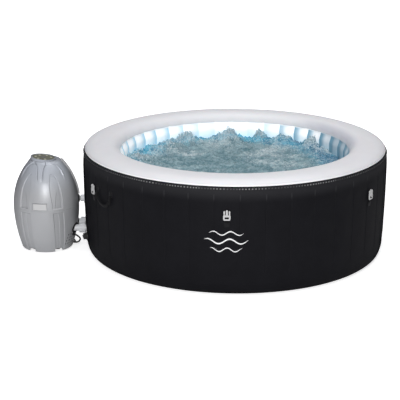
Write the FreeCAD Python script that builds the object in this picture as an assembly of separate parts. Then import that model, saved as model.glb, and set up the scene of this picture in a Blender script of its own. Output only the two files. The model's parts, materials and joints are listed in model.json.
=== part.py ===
"""Round inflatable hot tub with an egg-shaped pump, heater and blower unit coupled to its side.

Units are millimetres and degrees. The origin is the centre of the tub's underside on the ground, +Z up.
The pump unit stands on the -X side. An azimuth runs from -Y towards +X, seen from above.
Each sheet or moulding is its own node, and parts that move are separate from what holds them.
"""

import FreeCAD
import Part

import math
import os

from FreeCAD import Placement, Rotation, Vector

# ---- Tub: driving dimensions ----
TUB_RADIUS = 900.0
TUB_HEIGHT = 660.0
BASE_RADIUS = 832.0
INNER_RADIUS = 684.0
SHEET = 2.0
OUTER_SEAM = (889.4, 625.0)
INNER_SEAM = (680.0, 602.0)
CROWN_RADIUS = 772.0
WELD_GAP = 0.6
WEB_COUNT = 40
WEB_PHASE = 0.5
WEB_THICKNESS = 1.0

# ---- Cover buckles and carry handles ----
BUCKLE_COUNT = 6
BUCKLE_AZIMUTH = -4.0
BUCKLE_PIVOT_Z = 445.0
BUCKLE_STANDOFF = 9.0
BUCKLE_HEIGHT = 57.5
BUCKLE_BAR = (5.0, 9.0)
BUCKLE_WEBBING_WIDTH = 20.0
BAR_RADIUS = 2.5
LOOP_CLEARANCE = 0.7
WEBBING = 1.2
HANDLE_AZIMUTHS = {"left": -56.0, "right": 124.0}
HANDLE_PIVOT_Z = 452.0
HANDLE_HALF_SPAN = 72.0
HANDLE_DROP = 46.0

# ---- Pump unit ----
PUMP_X = -1129.0
PUMP_RADIUS = 196.0
BELT_Z = 268.0
UPPER_ARC = 404.0
LOWER_ARC = 786.0
SHELL = 4.0
SHELL_BOTTOM = 3.0
FLUTE_DEPTH = 5.0
FRONT_AZIMUTH = -5.5
FLUTE_SPREAD = 31.0
PANEL_RADIUS = 66.0
PANEL_TILT = 5.5
PANEL_CENTRE = Vector(PUMP_X - 10.0, 0.0, 550.5)
COLLAR_RADIUS = 76.0
DECK_Z = 538.0
COLLAR_DEPTH = 30.0
BUTTON_RADIUS = 7.0
BUTTON_CIRCLE = 46.0
BUTTONS = {
    "power": 180.0,
    "filter": 235.0,
    "bubbles": 290.0,
    "heater": 70.0,
    "temp_up": 125.0,
    "temp_down": 15.0,
}

# ---- Couplings between pump and tub ----
WATER_Z = 130.0
WATER_Y = 60.0
AIR_Z = 298.0
SPIGOT = {"water": 24.0, "air": 16.5}
PIPE = {"water": 20.0, "air": 13.0}
NUT_RIM = {"water": 5.5, "air": 4.0}
NUT_REACH = {"water": 21.0, "air": 11.5}
PIPE_WALL = 3.0
RUNNING = 0.06
FACE_X = {"water": -908.0, "air": -911.0}

# ---- Valves on the tub wall ----
DRAIN_AZIMUTH = -77.5
DRAIN_Z = 120.0
INFLATION_AZIMUTH = -112.0
INFLATION_Z = 180.0

X, Y, Z = Vector(1, 0, 0), Vector(0, 1, 0), Vector(0, 0, 1)
ORIGIN = Vector(0, 0, 0)


def save(name, *solids):
    """Writes one node: a single solid, or a group of separate solids."""
    shape = solids[0] if len(solids) == 1 else Part.makeCompound(list(solids))
    if not shape.isValid():
        print("not valid:", name)
    shape.exportStep(os.path.join("parts", name + ".step"))


def rod(radius, length, base, direction=Z):
    return Part.makeCylinder(radius, length, base, direction)


def tube(outer, inner, length, base, direction=Z):
    return rod(outer, length, base, direction).cut(rod(inner, length, base, direction))


def block(low, high):
    return Part.makeBox(high[0] - low[0], high[1] - low[1], high[2] - low[2], Vector(*low))


def fused(*shapes):
    return shapes[0].multiFuse(list(shapes[1:])).removeSplitter()


def outward(azimuth):
    a = math.radians(azimuth)
    return Vector(math.sin(a), -math.cos(a), 0)


def on_wall(shape, azimuth, radius, z):
    """Moves a shape built with +X outward and +Y along the wall to a place on the tub wall."""
    d = outward(azimuth)
    place = Placement(Vector(d.x * radius, d.y * radius, z), Rotation(Z, azimuth - 90.0))
    moved = shape.copy()
    moved.Placement = place.multiply(moved.Placement)
    return moved


def wall_radius(z):
    """Outside radius of the tub wall, widest a little above mid height."""
    if z >= 560.0:
        return TUB_RADIUS - (z - 560.0) ** 2 / (2 * 205.0)
    return TUB_RADIUS - (z - 560.0) ** 2 / (2 * 9540.0)


def inner_wall_radius(z):
    """Water-side radius of the inner wall, which leans in slightly towards the top."""
    return INNER_RADIUS + 2.0 - 6.0 * (z / INNER_SEAM[1]) ** 2


def profile_curve(points):
    curve = Part.BSplineCurve()
    curve.interpolate([Vector(r, 0, z) for r, z in points])
    return curve.toShape()


def sheet_of_revolution(outline, thickness=SHEET):
    """A round sheet. The outline is its outer side, and the thickness lies to the left of its run."""
    last = len(outline) - 1
    offset = []
    for i, (r, z) in enumerate(outline):
        before, after = outline[max(i - 1, 0)], outline[min(i + 1, last)]
        dr, dz = after[0] - before[0], after[1] - before[1]
        length = math.hypot(dr, dz)
        offset.append((r - dz / length * thickness, z + dr / length * thickness))
    ends = [
        Part.makeLine(Vector(a[0], 0, a[1]), Vector(b[0], 0, b[1]))
        for a, b in ((outline[0], offset[0]), (outline[last], offset[last]))
    ]
    wire = Part.Wire([profile_curve(outline), ends[1], profile_curve(offset), ends[0]])
    return Part.Face(wire).revolve(ORIGIN, Z, 360)


def belt(centre_a, radius_a, centre_b, radius_b, width):
    """A flat belt outline round two circles in the XZ plane, as a solid that is `width` along Y."""
    ax, az = centre_a
    bx, bz = centre_b
    dx, dz = bx - ax, bz - az
    span = math.hypot(dx, dz)
    ux, uz = dx / span, dz / span
    lean = (radius_a - radius_b) / span
    across = math.sqrt(1 - lean * lean)
    corners = []
    for side in (1, -1):
        nx, nz = lean * ux - side * across * uz, lean * uz + side * across * ux
        corners.append((ax + radius_a * nx, az + radius_a * nz))
        corners.append((bx + radius_b * nx, bz + radius_b * nz))
    order = [corners[0], corners[1], corners[3], corners[2], corners[0]]
    flank = Part.Face(Part.makePolygon([Vector(x, -width / 2, z) for x, z in order]))
    return fused(
        flank.extrude(Vector(0, width, 0)),
        rod(radius_a, width, Vector(ax, -width / 2, az), Y),
        rod(radius_b, width, Vector(bx, -width / 2, bz), Y),
    )


# ---- Tub sheets -------------------------------------------------------------------------------


def port_axes():
    """(centre on the wall, direction, hole radius) of every fitting that passes through the outer wall."""
    gap = 1.0
    axes = [(Vector(0, s * WATER_Y, WATER_Z), Vector(-1, 0, 0), SPIGOT["water"] + gap) for s in (-1, 1)]
    axes.append((Vector(0, 0, AIR_Z), Vector(-1, 0, 0), SPIGOT["air"] + gap))
    axes.append((Vector(0, 0, DRAIN_Z), outward(DRAIN_AZIMUTH), 16.0 + gap))
    axes.append((Vector(0, 0, INFLATION_Z), outward(INFLATION_AZIMUTH), 18.0 + gap))
    return axes


def outer_wall():
    outline = [(BASE_RADIUS, SHEET + WELD_GAP), (BASE_RADIUS + 40.0, 20.0)]
    heights = (66.0, 180.0, 320.0, 460.0, 560.0, 600.0, OUTER_SEAM[1] - 1.0)
    outline += [(wall_radius(z), z) for z in heights]
    wall = sheet_of_revolution(outline)
    for base, direction, radius in port_axes():
        wall = wall.cut(rod(radius, 1000.0, base, direction))
    return wall


def inner_wall():
    heights = (INNER_SEAM[1] - 2.0, 450.0, 300.0, 150.0, SHEET + WELD_GAP)
    wall = sheet_of_revolution([(inner_wall_radius(z), z) for z in heights])
    for base, direction, radius in port_axes()[:2] + port_axes()[3:4]:
        wall = wall.cut(rod(radius, 1000.0, base, direction))
    return wall


def top_ring():
    """The crowned white ring that joins the two walls."""
    outline = [
        (OUTER_SEAM[0] - 0.4, OUTER_SEAM[1] + 0.6),
        (876.0, 641.0),
        (845.0, 654.5),
        (CROWN_RADIUS + 28.0, 659.6),
        (CROWN_RADIUS, TUB_HEIGHT),
        (CROWN_RADIUS - 32.0, 657.5),
        (706.0, 644.0),
        (688.0, 626.0),
        (INNER_SEAM[0] + 1.0, INNER_SEAM[1] + 2.0),
    ]
    return sheet_of_revolution(outline)


def floor_sheet():
    return rod(BASE_RADIUS, SHEET, ORIGIN)


def outer_seam_band():
    """The welded piping just under the ring, proud of the wall."""
    z_low, z_high, proud = 609.0, 623.0, 2.0
    face = Part.Face(
        Part.makePolygon(
            [
                Vector(wall_radius(z_low) + WELD_GAP, 0, z_low),
                Vector(wall_radius(z_low) + proud, 0, z_low + 1.0),
                Vector(wall_radius(z_high) + proud, 0, z_high - 1.0),
                Vector(wall_radius(z_high) + WELD_GAP, 0, z_high),
                Vector(wall_radius(z_low) + WELD_GAP, 0, z_low),
            ]
        )
    )
    return face.revolve(ORIGIN, Z, 360)


def beam_webs():
    """Upright radial webs inside the air chamber that hold the two walls a fixed width apart."""
    foot, head, clear = 34.0, 585.0, 3.0
    rise = (foot, 90.0, 200.0, 320.0, 440.0, 540.0, head)
    outline = [(wall_radius(z) - clear, z) for z in rise[1:]]
    outline += [(inner_wall_radius(z) + clear, z) for z in reversed(rise)]
    outline += [(wall_radius(90.0) - 26.0, foot), outline[0]]
    polygon = Part.makePolygon([Vector(r, -WEB_THICKNESS / 2, z) for r, z in outline])
    web = Part.Face(polygon).extrude(Vector(0, WEB_THICKNESS, 0))
    opening = rod(SPIGOT["air"] + 14.0, 1000.0, Vector(0, 0, AIR_Z - 6.0), Vector(-1, 0, 0))
    duct = block((-735, -22, 20), (-680, 22, AIR_Z + 20))
    webs = []
    for i in range(WEB_COUNT):
        one = web.copy()
        one.rotate(ORIGIN, Z, WEB_PHASE + 360.0 / WEB_COUNT * i - 90.0)
        if one.common(opening).Volume > 0 or one.common(duct).Volume > 0:
            one = one.cut(opening).cut(duct)
        webs += one.Solids
    return webs


def bubble_channel():
    """Hollow air duct welded round the foot of the inner wall, with a ring of air holes."""
    z_low = SHEET + WELD_GAP
    outer_r = inner_wall_radius(20.0) - WELD_GAP
    wide, tall, wall, holes = 44.0, 34.0, 2.5, 80

    def section(inset):
        r1, r0 = outer_r - inset, outer_r - wide + inset
        z0, z1 = z_low + inset, z_low + tall - inset
        corners = [(r0, z0), (r1, z0), (r1, z1), (r0 + 26.0, z1), (r0 + 8.0, z1 - 8.0), (r0, z0 + 10.0)]
        outline = [Vector(r, 0, z) for r, z in corners + corners[:1]]
        return Part.Face(Part.makePolygon(outline)).revolve(ORIGIN, Z, 360)

    channel = section(0.0).cut(section(wall))
    drills = []
    for i in range(holes):
        d = outward(360.0 / holes * (i + 0.5))
        drills.append(rod(2.5, 60.0, Vector(d.x * 676.0, d.y * 676.0, 16.0), Z))
    inlet = rod(11.0, 60.0, Vector(-(outer_r + 20), 0, 16.0), X)
    return channel.cut(Part.makeCompound(drills)).cut(inlet)


# ---- Buckles, webbing loops and handles --------------------------------------------------------


def slot_frame(width, slot_height, thickness):
    """A bar on the pivot axis with two side legs, as on a webbing buckle. Built at the pivot."""
    leg = 5.0
    slot = width / 2 - leg
    bar = rod(BAR_RADIUS, width, Vector(0, -width / 2, 0), Y)
    shapes = [bar]
    for low in (-width / 2, slot):
        shapes.append(block((-thickness / 2, low, 0), (thickness / 2, low + leg, slot_height)))
    return shapes


def buckle():
    """The pronged half of a side-release buckle. Its lowest crossbar lies on the pivot axis."""
    thick, bar = BUCKLE_BAR
    half_width, slot_half, corner = 20.0, 11.5, 4.0
    low, slot_top, body_top = -bar / 2, bar / 2 + 10.0, bar / 2 + 20.0
    frame = [
        (half_width - corner, low), (half_width, low + 2 * corner), (half_width, slot_top + corner),
        (half_width - 2.0, body_top),
    ]
    outline = frame + [(-y, z) for y, z in reversed(frame)]
    slot = [(slot_half, bar / 2), (slot_half, slot_top), (-slot_half, slot_top), (-slot_half, bar / 2)]
    tip = BUCKLE_HEIGHT - bar / 2
    centre = [
        (6.0, body_top), (5.0, tip - 13.0), (6.0, tip - 6.0), (3.5, tip),
        (-3.5, tip), (-6.0, tip - 6.0), (-5.0, tip - 13.0), (-6.0, body_top),
    ]
    prong = [
        (18.0, body_top), (12.5, body_top), (11.0, 33.0), (9.6, 43.0), (12.0, 48.0), (15.5, 48.5),
        (18.6, 42.0), (17.4, 33.0),
    ]

    def plate(points):
        wire = Part.makePolygon([Vector(-thick / 2, y, z) for y, z in points + points[:1]])
        return Part.Face(wire).extrude(Vector(thick, 0, 0))

    prongs = [plate(prong), plate([(-y, z) for y, z in prong])]
    return fused(plate(outline).cut(plate(slot)), plate(centre), *prongs)


def webbing_loop(width, pivot_x, tail, wall_x, bar_reach=BAR_RADIUS, open_front=False):
    """Webbing round a pivot bar, running to a welded patch on the wall. tail is +1 up or -1 down.

    An open loop passes behind the bar and ends over its top edge.
    """
    inside = bar_reach + LOOP_CLEARANCE
    foot = (wall_x + 2.4, tail * 24.0)
    outer = belt((pivot_x, 0), inside + WEBBING, foot, WEBBING + 0.6, width)
    inner = belt((pivot_x, 0), inside, foot, 0.6, width)
    low, high = sorted((tail * 20.0, tail * 46.0))
    patch = block((wall_x + 0.5, -width / 2 - 6, low), (wall_x + 2.0, width / 2 + 6, high))
    strap = outer.cut(inner)
    if open_front:
        edge = [(pivot_x + 0.5, 4.6), (pivot_x + 30.0, 4.6), (pivot_x + 30.0, -20.5), (wall_x + 3.4, -20.5)]
        wire = Part.makePolygon([Vector(x, -width, z) for x, z in edge + edge[:1]])
        strap = strap.cut(Part.Face(wire).extrude(Vector(0, 2 * width, 0)))
    return fused(strap, patch.cut(inner))


def handle():
    """A sagging moulded grip between two webbing bars. Built at its pivot axis, hanging down."""
    frame_width, thick, slot_depth, plate = 30.0, 5.0, 12.0, 8.0
    shapes = []
    for s in (-1, 1):
        for piece in slot_frame(frame_width, slot_depth, thick):
            flipped = piece.mirror(ORIGIN, Z)
            flipped.translate(Vector(0, s * HANDLE_HALF_SPAN, 0))
            shapes.append(flipped)
        shapes.append(
            block(
                (-thick / 2, s * HANDLE_HALF_SPAN - frame_width / 2, -slot_depth - plate),
                (thick / 2, s * HANDLE_HALF_SPAN + frame_width / 2, -slot_depth),
            )
        )
    low_z = -slot_depth - plate / 2
    left, right = Vector(0, -HANDLE_HALF_SPAN, low_z), Vector(0, HANDLE_HALF_SPAN, low_z)
    path = Part.Wire(Part.Arc(left, Vector(0, 0, -HANDLE_DROP), right).toShape())
    tangent = path.Edges[0].tangentAt(path.Edges[0].FirstParameter)
    section = Part.Wire(Part.makeCircle(6.0, left, tangent))
    shapes.append(path.makePipeShell([section], True, False))
    return fused(*shapes)


# ---- Valves on the tub wall --------------------------------------------------------------------


def inflation_valve():
    """(body, stem, cap), built with +X outward and the wall surface at x = 0."""
    body = fused(tube(32.0, 15.0, 4.0, Vector(1.6, 0, 0), X), tube(17.5, 15.0, 44.0, Vector(-36.0, 0, 0), X))
    guide = tube(15.0, 4.1, 3.0, Vector(-30.0, 0, 0), X)
    guide = guide.cut(tube(12.0, 7.0, 3.0, Vector(-30.0, 0, 0), X).cut(block((-40, -3, -20), (0, 3, 20))))
    body = fused(body, guide)
    stem = fused(rod(4.0, 34.0, Vector(-39.5, 0, 0), X), rod(17.0, 3.0, Vector(-39.5, 0, 0), X))
    cap = fused(rod(26.0, 4.0, Vector(12.0, 0, 0), X), tube(26.0, 17.56, 6.0, Vector(6.0, 0, 0), X))
    for i in range(12):
        angle = math.radians(30.0 * i)
        cap = cap.cut(rod(2.0, 12.0, Vector(5.0, 26.5 * math.cos(angle), 26.5 * math.sin(angle)), X))
    return body, stem, cap


def drain_valve(depth):
    """(body, cap) of the hose-threaded drain, which passes through both walls."""
    body = fused(
        tube(26.0, 11.0, 3.6, Vector(3.6, 0, 0), X),
        tube(15.0, 11.0, depth + 22.0, Vector(-depth, 0, 0), X),
        tube(24.0, 11.0, 3.0, Vector(-depth - 3.0, 0, 0), X),
    )
    cap = fused(rod(19.0, 3.0, Vector(23.0, 0, 0), X), tube(19.0, 15.0 + RUNNING, 15.5, Vector(7.5, 0, 0), X))
    cap = fused(cap, block((24.0, -17.0, -2.5), (31.0, 17.0, 2.5)))
    for i in range(10):
        angle = math.radians(36.0 * i + 18.0)
        cap = cap.cut(rod(1.8, 25.0, Vector(5.0, 19.4 * math.cos(angle), 19.4 * math.sin(angle)), X))
    return body, cap


# ---- Couplings ---------------------------------------------------------------------------------


def water_port(y):
    """Moulded tube through both walls, with an outer flange and a threaded spigot for the nut."""
    r = SPIGOT["water"]
    bore = PIPE["water"] - PIPE_WALL
    inner_x = -(INNER_RADIUS - 6.0)
    outer_x = -wall_radius(WATER_Z) - 2.6
    start = Vector(inner_x, y, WATER_Z)
    length = inner_x - FACE_X["water"]
    shapes = [
        tube(r, bore, length, start, -X),
        tube(r + 15.0, bore, 4.0, Vector(inner_x + 4.0, y, WATER_Z), -X),
        tube(r + 15.0, bore, 5.0, Vector(outer_x, y, WATER_Z), -X),
    ]
    return fused(*shapes)


def air_port():
    """Air spigot on the wall with a duct that drops inside the chamber to the bubble channel."""
    r, bore = SPIGOT["air"], PIPE["air"] - PIPE_WALL
    outer_x = -wall_radius(AIR_Z) - 1.0
    duct_x, channel_z = -712.0, 16.0
    top = Vector(duct_x, 0, AIR_Z)
    outside = [
        rod(r, duct_x - FACE_X["air"], top, -X),
        rod(r + 13.0, 4.0, Vector(outer_x, 0, AIR_Z), -X),
        rod(14.0, AIR_Z - channel_z, Vector(duct_x, 0, channel_z), Z),
        Part.makeSphere(r, top),
        Part.makeSphere(14.0, Vector(duct_x, 0, channel_z)),
        rod(10.0, 45.0, Vector(duct_x, 0, channel_z), X),
    ]
    inside = [
        rod(bore, duct_x - FACE_X["air"], top, -X),
        rod(9.0, AIR_Z - channel_z, Vector(duct_x, 0, channel_z), Z),
        rod(7.0, 60.0, Vector(duct_x, 0, channel_z), X),
    ]
    return fused(*outside).cut(fused(*inside))


def pump_pipe(kind, y, z, inner_x):
    """Pipe that leaves the pump shell, with the collar that its nut pulls against the seal."""
    r = PIPE[kind]
    end_x = FACE_X[kind] - 2.5
    return fused(
        tube(r, r - PIPE_WALL, end_x - inner_x, Vector(inner_x, y, z), X),
        tube(r + 3.0, r - PIPE_WALL, 3.0, Vector(end_x - 3.0, y, z), X),
    )


def coupling_nut(kind, y, z):
    """Hand nut: it screws on the tub's spigot and shoulders behind the pipe's collar."""
    spigot, pipe = SPIGOT[kind], PIPE[kind]
    hand = spigot + NUT_RIM[kind]
    tub_end = FACE_X[kind] + 8.5
    pump_end = FACE_X[kind] - NUT_REACH[kind]
    shoulder = FACE_X[kind] - 6.0
    nut = rod(hand, tub_end - pump_end, Vector(pump_end, y, z), X)
    grips = 10
    for i in range(grips):
        angle = 2 * math.pi * (i + 0.5) / grips
        groove = Vector(pump_end - 1, y + (hand + 2.2) * math.cos(angle), z + (hand + 2.2) * math.sin(angle))
        nut = nut.cut(rod(4.0, tub_end - pump_end + 2, groove, X))
    if kind == "water":
        spot = Vector((pump_end + tub_end) / 2 - 3.0, y, z - 4.0)
        nut = fused(nut, rod(9.5, hand + 1.5, spot, -Y), rod(5.0, hand + 3.0, spot, -Y))
    nut = nut.cut(rod(spigot + RUNNING, tub_end - shoulder, Vector(shoulder, y, z), X))
    return nut.cut(rod(pipe + RUNNING, shoulder - pump_end + 0.4, Vector(pump_end - 0.2, y, z), X))


def coupling_seal(kind, y, z):
    seal = Part.makeTorus(PIPE[kind] + 0.5, 1.1, Vector(FACE_X[kind] - 1.25, y, z), X)
    return seal


# ---- Water fittings inside the tub --------------------------------------------------------------


def filter_housing(y):
    """Slotted cup that hangs on the suction port inside the tub."""
    radius, wall, x0, x1 = 47.0, 3.0, -672.0, -566.0
    cup = rod(radius, x1 - x0, Vector(x0, y, WATER_Z), X)
    cup = cup.cut(rod(radius - wall, x1 - x0, Vector(x0 + wall, y, WATER_Z), X))
    cup = cup.cut(rod(PIPE["water"] - PIPE_WALL, 20.0, Vector(x0 - 5, y, WATER_Z), X))
    slots = []
    for i in range(12):
        slot = block((x0 + 14.0, -2.5, 30.0), (x1 - 16.0, 2.5, 60.0))
        slot.rotate(ORIGIN, X, 30.0 * i)
        slot.translate(Vector(0, y, WATER_Z))
        slots.append(slot)
    return cup.cut(Part.makeCompound(slots))


def filter_cartridge(y):
    """Pleated paper cartridge, open through the middle."""
    pleats, outer_r, inner_r = 20, 40.0, 30.0
    x0, x1 = -667.0, -576.0
    points = []
    for i in range(2 * pleats):
        r = outer_r if i % 2 == 0 else inner_r
        angle = math.pi * i / pleats
        points.append(Vector(x0, y + r * math.cos(angle), WATER_Z + r * math.sin(angle)))
    star = Part.Face(Part.makePolygon(points + points[:1])).extrude(Vector(x1 - x0, 0, 0))
    ends = [rod(outer_r + 1.5, 4.0, Vector(x, y, WATER_Z), X) for x in (x0 - 1.0, x1 - 3.0)]
    return fused(star, *ends).cut(rod(18.0, 200.0, Vector(x0 - 20, y, WATER_Z), X))


def filter_cap(y):
    """Twist-off end cap with a finger bar."""
    x0 = -565.0
    cap = fused(
        rod(50.0, 4.0, Vector(x0, y, WATER_Z), X),
        tube(50.0, 47.0 + 0.4, 10.0, Vector(x0 - 9.0, y, WATER_Z), X),
        block((x0 + 3.0, y - 34.0, WATER_Z - 4.0), (x0 + 15.0, y + 34.0, WATER_Z + 4.0)),
    )
    return cap


def outlet_screen(y):
    """Shallow slotted screen over the return port."""
    radius, x0, deep = 36.0, -672.5, 18.0
    screen = rod(radius, deep, Vector(x0, y, WATER_Z), X)
    screen = screen.cut(rod(radius - 3.0, deep - 3.0, Vector(x0, y, WATER_Z), X))
    slots = [
        block((x0 - 1, y - 24.0, WATER_Z + dz - 2.0), (x0 + deep + 1, y + 24.0, WATER_Z + dz + 2.0))
        for dz in (-20.0, -10.0, 0.0, 10.0, 20.0)
    ]
    return screen.cut(Part.makeCompound(slots))


# ---- Pump casing --------------------------------------------------------------------------------


def egg(inset, z_low, z_high):
    """The pump's egg shape, inset by a wall, between two heights: two arcs that meet at the belt."""

    def arc_point(arc, z):
        r = PUMP_RADIUS - arc + math.sqrt((arc - inset) ** 2 - (z - BELT_Z) ** 2)
        return Vector(PUMP_X + r, 0, z)

    edges = []
    stops = [z_low] + ([BELT_Z] if z_low < BELT_Z < z_high else []) + [z_high]
    for a, b in zip(stops[:-1], stops[1:]):
        arc = LOWER_ARC if b <= BELT_Z else UPPER_ARC
        middle = arc_point(arc, (a + b) / 2)
        edges.append(Part.Arc(arc_point(arc, a), middle, arc_point(arc, b)).toShape())
    top, bottom = edges[-1].Vertexes[-1].Point, edges[0].Vertexes[0].Point
    axis_top, axis_bottom = Vector(PUMP_X, 0, top.z), Vector(PUMP_X, 0, bottom.z)
    edges.append(Part.makeLine(top, axis_top))
    edges.append(Part.makeLine(axis_top, axis_bottom))
    edges.append(Part.makeLine(axis_bottom, bottom))
    return Part.Face(Part.Wire(edges)).revolve(Vector(PUMP_X, 0, 0), Z, 360)


def in_pump(shape, azimuth=90.0):
    """Turns a shape built along +X about the pump's axis, then moves it there."""
    moved = shape.copy()
    moved.rotate(ORIGIN, Z, azimuth - 90.0)
    moved.translate(Vector(PUMP_X, 0, 0))
    return moved


def flute_prism(outline, azimuth):
    wire = Part.makePolygon([Vector(90.0, y, z) for y, z in outline + outline[:1]])
    return in_pump(Part.Face(wire).extrude(Vector(160.0, 0, 0)), azimuth)


def flute_cutters(outline, z_low, z_high, deepen=0.0, grow=0.0):
    """Recesses of even depth: the prisms outside an inset egg."""
    core = egg(FLUTE_DEPTH + deepen, z_low, z_high)
    wider = [(y + (grow if y > -15.0 else -grow), z) for y, z in outline]
    mirrored = [(-y, z) for y, z in wider]
    cutters = []
    for face in (FRONT_AZIMUTH, FRONT_AZIMUTH + 180.0):
        cutters.append(flute_prism(wider, face + FLUTE_SPREAD).cut(core))
        cutters.append(flute_prism(mirrored, face - FLUTE_SPREAD).cut(core))
    return cutters


LOWER_FLUTE = [(-32.0, BELT_Z - 14.0), (32.0, BELT_Z - 14.0), (25.0, -10.0), (-25.0, -10.0)]
UPPER_FLUTE = [
    (-32.0, BELT_Z + 8.0),
    (34.0, BELT_Z + 8.0),
    (32.0, 335.0),
    (22.0, 390.0),
    (2.0, 435.0),
    (-20.0, 464.0),
    (-25.0, 460.0),
    (-29.0, 380.0),
]


def panel_place(shape):
    """Moves a shape built about the Z axis at z = 0 to the tilted control panel."""
    moved = shape.copy()
    moved.Placement = Placement(PANEL_CENTRE, Rotation(Y, PANEL_TILT)).multiply(moved.Placement)
    return moved


def pipe_exits(extra):
    """Rods along the three pipes, grown by extra, that open the casing for them."""
    start = PUMP_X + 100.0
    return [
        rod(PIPE["water"] + extra, 140.0, Vector(start, -WATER_Y, WATER_Z), X),
        rod(PIPE["water"] + extra, 140.0, Vector(start, WATER_Y, WATER_Z), X),
        rod(PIPE["air"] + extra, 140.0, Vector(start, 0, AIR_Z), X),
    ]


def vent_holes():
    """Slanted rows of round air holes low on the side that faces the tub."""
    holes = []
    for row in range(4):
        for column in range(7):
            azimuth = 48.0 + 5.0 * column + 1.5 * row
            z = 40.0 + 13.0 * row
            holes.append(in_pump(rod(3.0, 120.0, Vector(110.0, 0, z), X), azimuth))
    return holes


def lower_shell():
    top = BELT_Z - 0.5
    shell = egg(0.0, SHELL_BOTTOM, top).cut(egg(SHELL, SHELL_BOTTOM - 1.0, top + 1.0))
    backing = flute_cutters(LOWER_FLUTE, -20.0, BELT_Z, deepen=SHELL, grow=SHELL)
    inside = egg(SHELL - 0.5, SHELL_BOTTOM, BELT_Z - 6.0)
    shell = fused(shell, *[inside.common(b) for b in backing])
    for cutter in flute_cutters(LOWER_FLUTE, -20.0, BELT_Z):
        shell = shell.cut(cutter)
    for face in (FRONT_AZIMUTH, FRONT_AZIMUTH + 180.0):
        for spread in (-FLUTE_SPREAD, FLUTE_SPREAD):
            shell = shell.cut(in_pump(block((120, -25, -5), (220, 25, 20)), face + spread))
    ledge = tube(egg_radius(27.0) - SHELL + 0.5, 118.0, 6.0, Vector(PUMP_X, 0, 24.0))
    shell = fused(shell, ledge)
    shell = shell.cut(Part.makeCompound(pipe_exits(2.0) + vent_holes()))
    shell = shell.cut(Part.makeCompound(screw_bodies(0.1)))
    cord_exit = rod(8.0, 80.0, Vector(-1009.0, -62.0, 96.0), Vector(1, -0.45, 0))
    return shell.cut(cord_exit)


def egg_radius(z):
    arc = LOWER_ARC if z <= BELT_Z else UPPER_ARC
    return PUMP_RADIUS - arc + math.sqrt(arc**2 - (z - BELT_Z) ** 2)


def upper_shell():
    bottom = BELT_Z + 0.5
    shell = egg(0.0, bottom, DECK_Z).cut(egg(SHELL, bottom - 1.0, DECK_Z - SHELL))
    backing = flute_cutters(UPPER_FLUTE, BELT_Z, 500.0, deepen=SHELL, grow=SHELL)
    inside = egg(SHELL - 0.5, bottom + 4.0, 500.0)
    shell = fused(shell, *[inside.common(b) for b in backing])
    for cutter in flute_cutters(UPPER_FLUTE, BELT_Z, 500.0):
        shell = shell.cut(cutter)
    shell = shell.cut(panel_place(rod(COLLAR_RADIUS + 0.5, 80.0, Vector(0, 0, -50.0))))
    shell = shell.cut(badge_prism(0.4).cut(egg(2.4, BELT_Z, 330.0)))
    return shell.cut(Part.makeCompound(pipe_exits(2.0)))


def badge_prism(grow):
    low = (100.0, -40.0 - grow, BELT_Z + 10.0 - grow)
    high = (260.0, 40.0 + grow, BELT_Z + 46.0 + grow)
    return in_pump(block(low, high), FRONT_AZIMUTH)


def badge_plate():
    """Blank curved plate in the pocket above the belt."""
    return badge_prism(0.0).cut(egg(2.1, BELT_Z, 330.0)).common(egg(-0.8, BELT_Z, 330.0))


def spine_cover():
    """Ribbed strip on the tub side of the upper casing, following the egg."""
    half_width, z_low, z_high, proud = 22.0, 324.0, DECK_Z - 2.0, 8.0
    strip = egg(-proud, z_low, z_high).cut(egg(-0.4, z_low - 1.0, z_high + 1.0))
    strip = strip.common(in_pump(block((0, -half_width, z_low), (260, half_width, z_high)), 98.0))
    ribs = []
    for i in range(16):
        z = z_low + 8.0 + 12.5 * i
        ribs.append(in_pump(block((50, -half_width - 1, z), (260, half_width + 1, z + 5.0)), 98.0))
    grooves = Part.makeCompound(ribs).cut(egg(-proud + 3.0, z_low - 1.0, z_high + 1.0))
    return strip.cut(grooves)


def pipe_grommets():
    """Black seals round the pipes where they leave the casing."""
    grommets = []
    for kind, y, z, in (("water", -WATER_Y, WATER_Z), ("water", WATER_Y, WATER_Z), ("air", 0.0, AIR_Z)):
        azimuth = math.degrees(math.asin(y / egg_radius(z)))
        surface = Vector(PUMP_X + math.sqrt((egg_radius(z)) ** 2 - y**2), y, z)
        normal = Vector(math.cos(math.radians(azimuth)), math.sin(math.radians(azimuth)), 0)
        ring = tube(PIPE[kind] + 8.0, 1.0, 5.0, surface - normal * 2.0, normal)
        hole = rod(PIPE[kind] + 0.5, 200.0, Vector(PUMP_X + 80.0, y, z), X)
        grommets.append(ring.cut(hole).cut(egg(-0.5, z - 60.0, z + 60.0)))
    return grommets


def control_collar():
    """Round bezel that carries the tilted control panel."""
    bezel = rod(COLLAR_RADIUS, COLLAR_DEPTH + 2.5, Vector(0, 0, -COLLAR_DEPTH))
    bezel = bezel.cut(rod(PANEL_RADIUS + 0.4, 12.0, Vector(0, 0, -3.6)))
    return panel_place(bezel.cut(rod(PANEL_RADIUS - 6.0, 60.0, Vector(0, 0, -50.0))))


def button_spot(angle):
    a = math.radians(angle)
    return Vector(BUTTON_CIRCLE * math.cos(a), BUTTON_CIRCLE * math.sin(a), 0)


def control_panel():
    """Face disc with a display window and holes for the buttons."""
    face = rod(PANEL_RADIUS, 3.0, Vector(0, 0, -3.2))
    for angle in BUTTONS.values():
        spot = button_spot(angle)
        face = face.cut(rod(BUTTON_RADIUS + 0.3, 6.0, spot + Vector(0, 0, -4)))
    window = block((-14.5, -22.5, -4), (14.5, 22.5, 1))
    return panel_place(face.cut(window))


def display_lens():
    return panel_place(block((-14.0, -22.0, -3.0), (14.0, 22.0, 0.2)))


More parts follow.
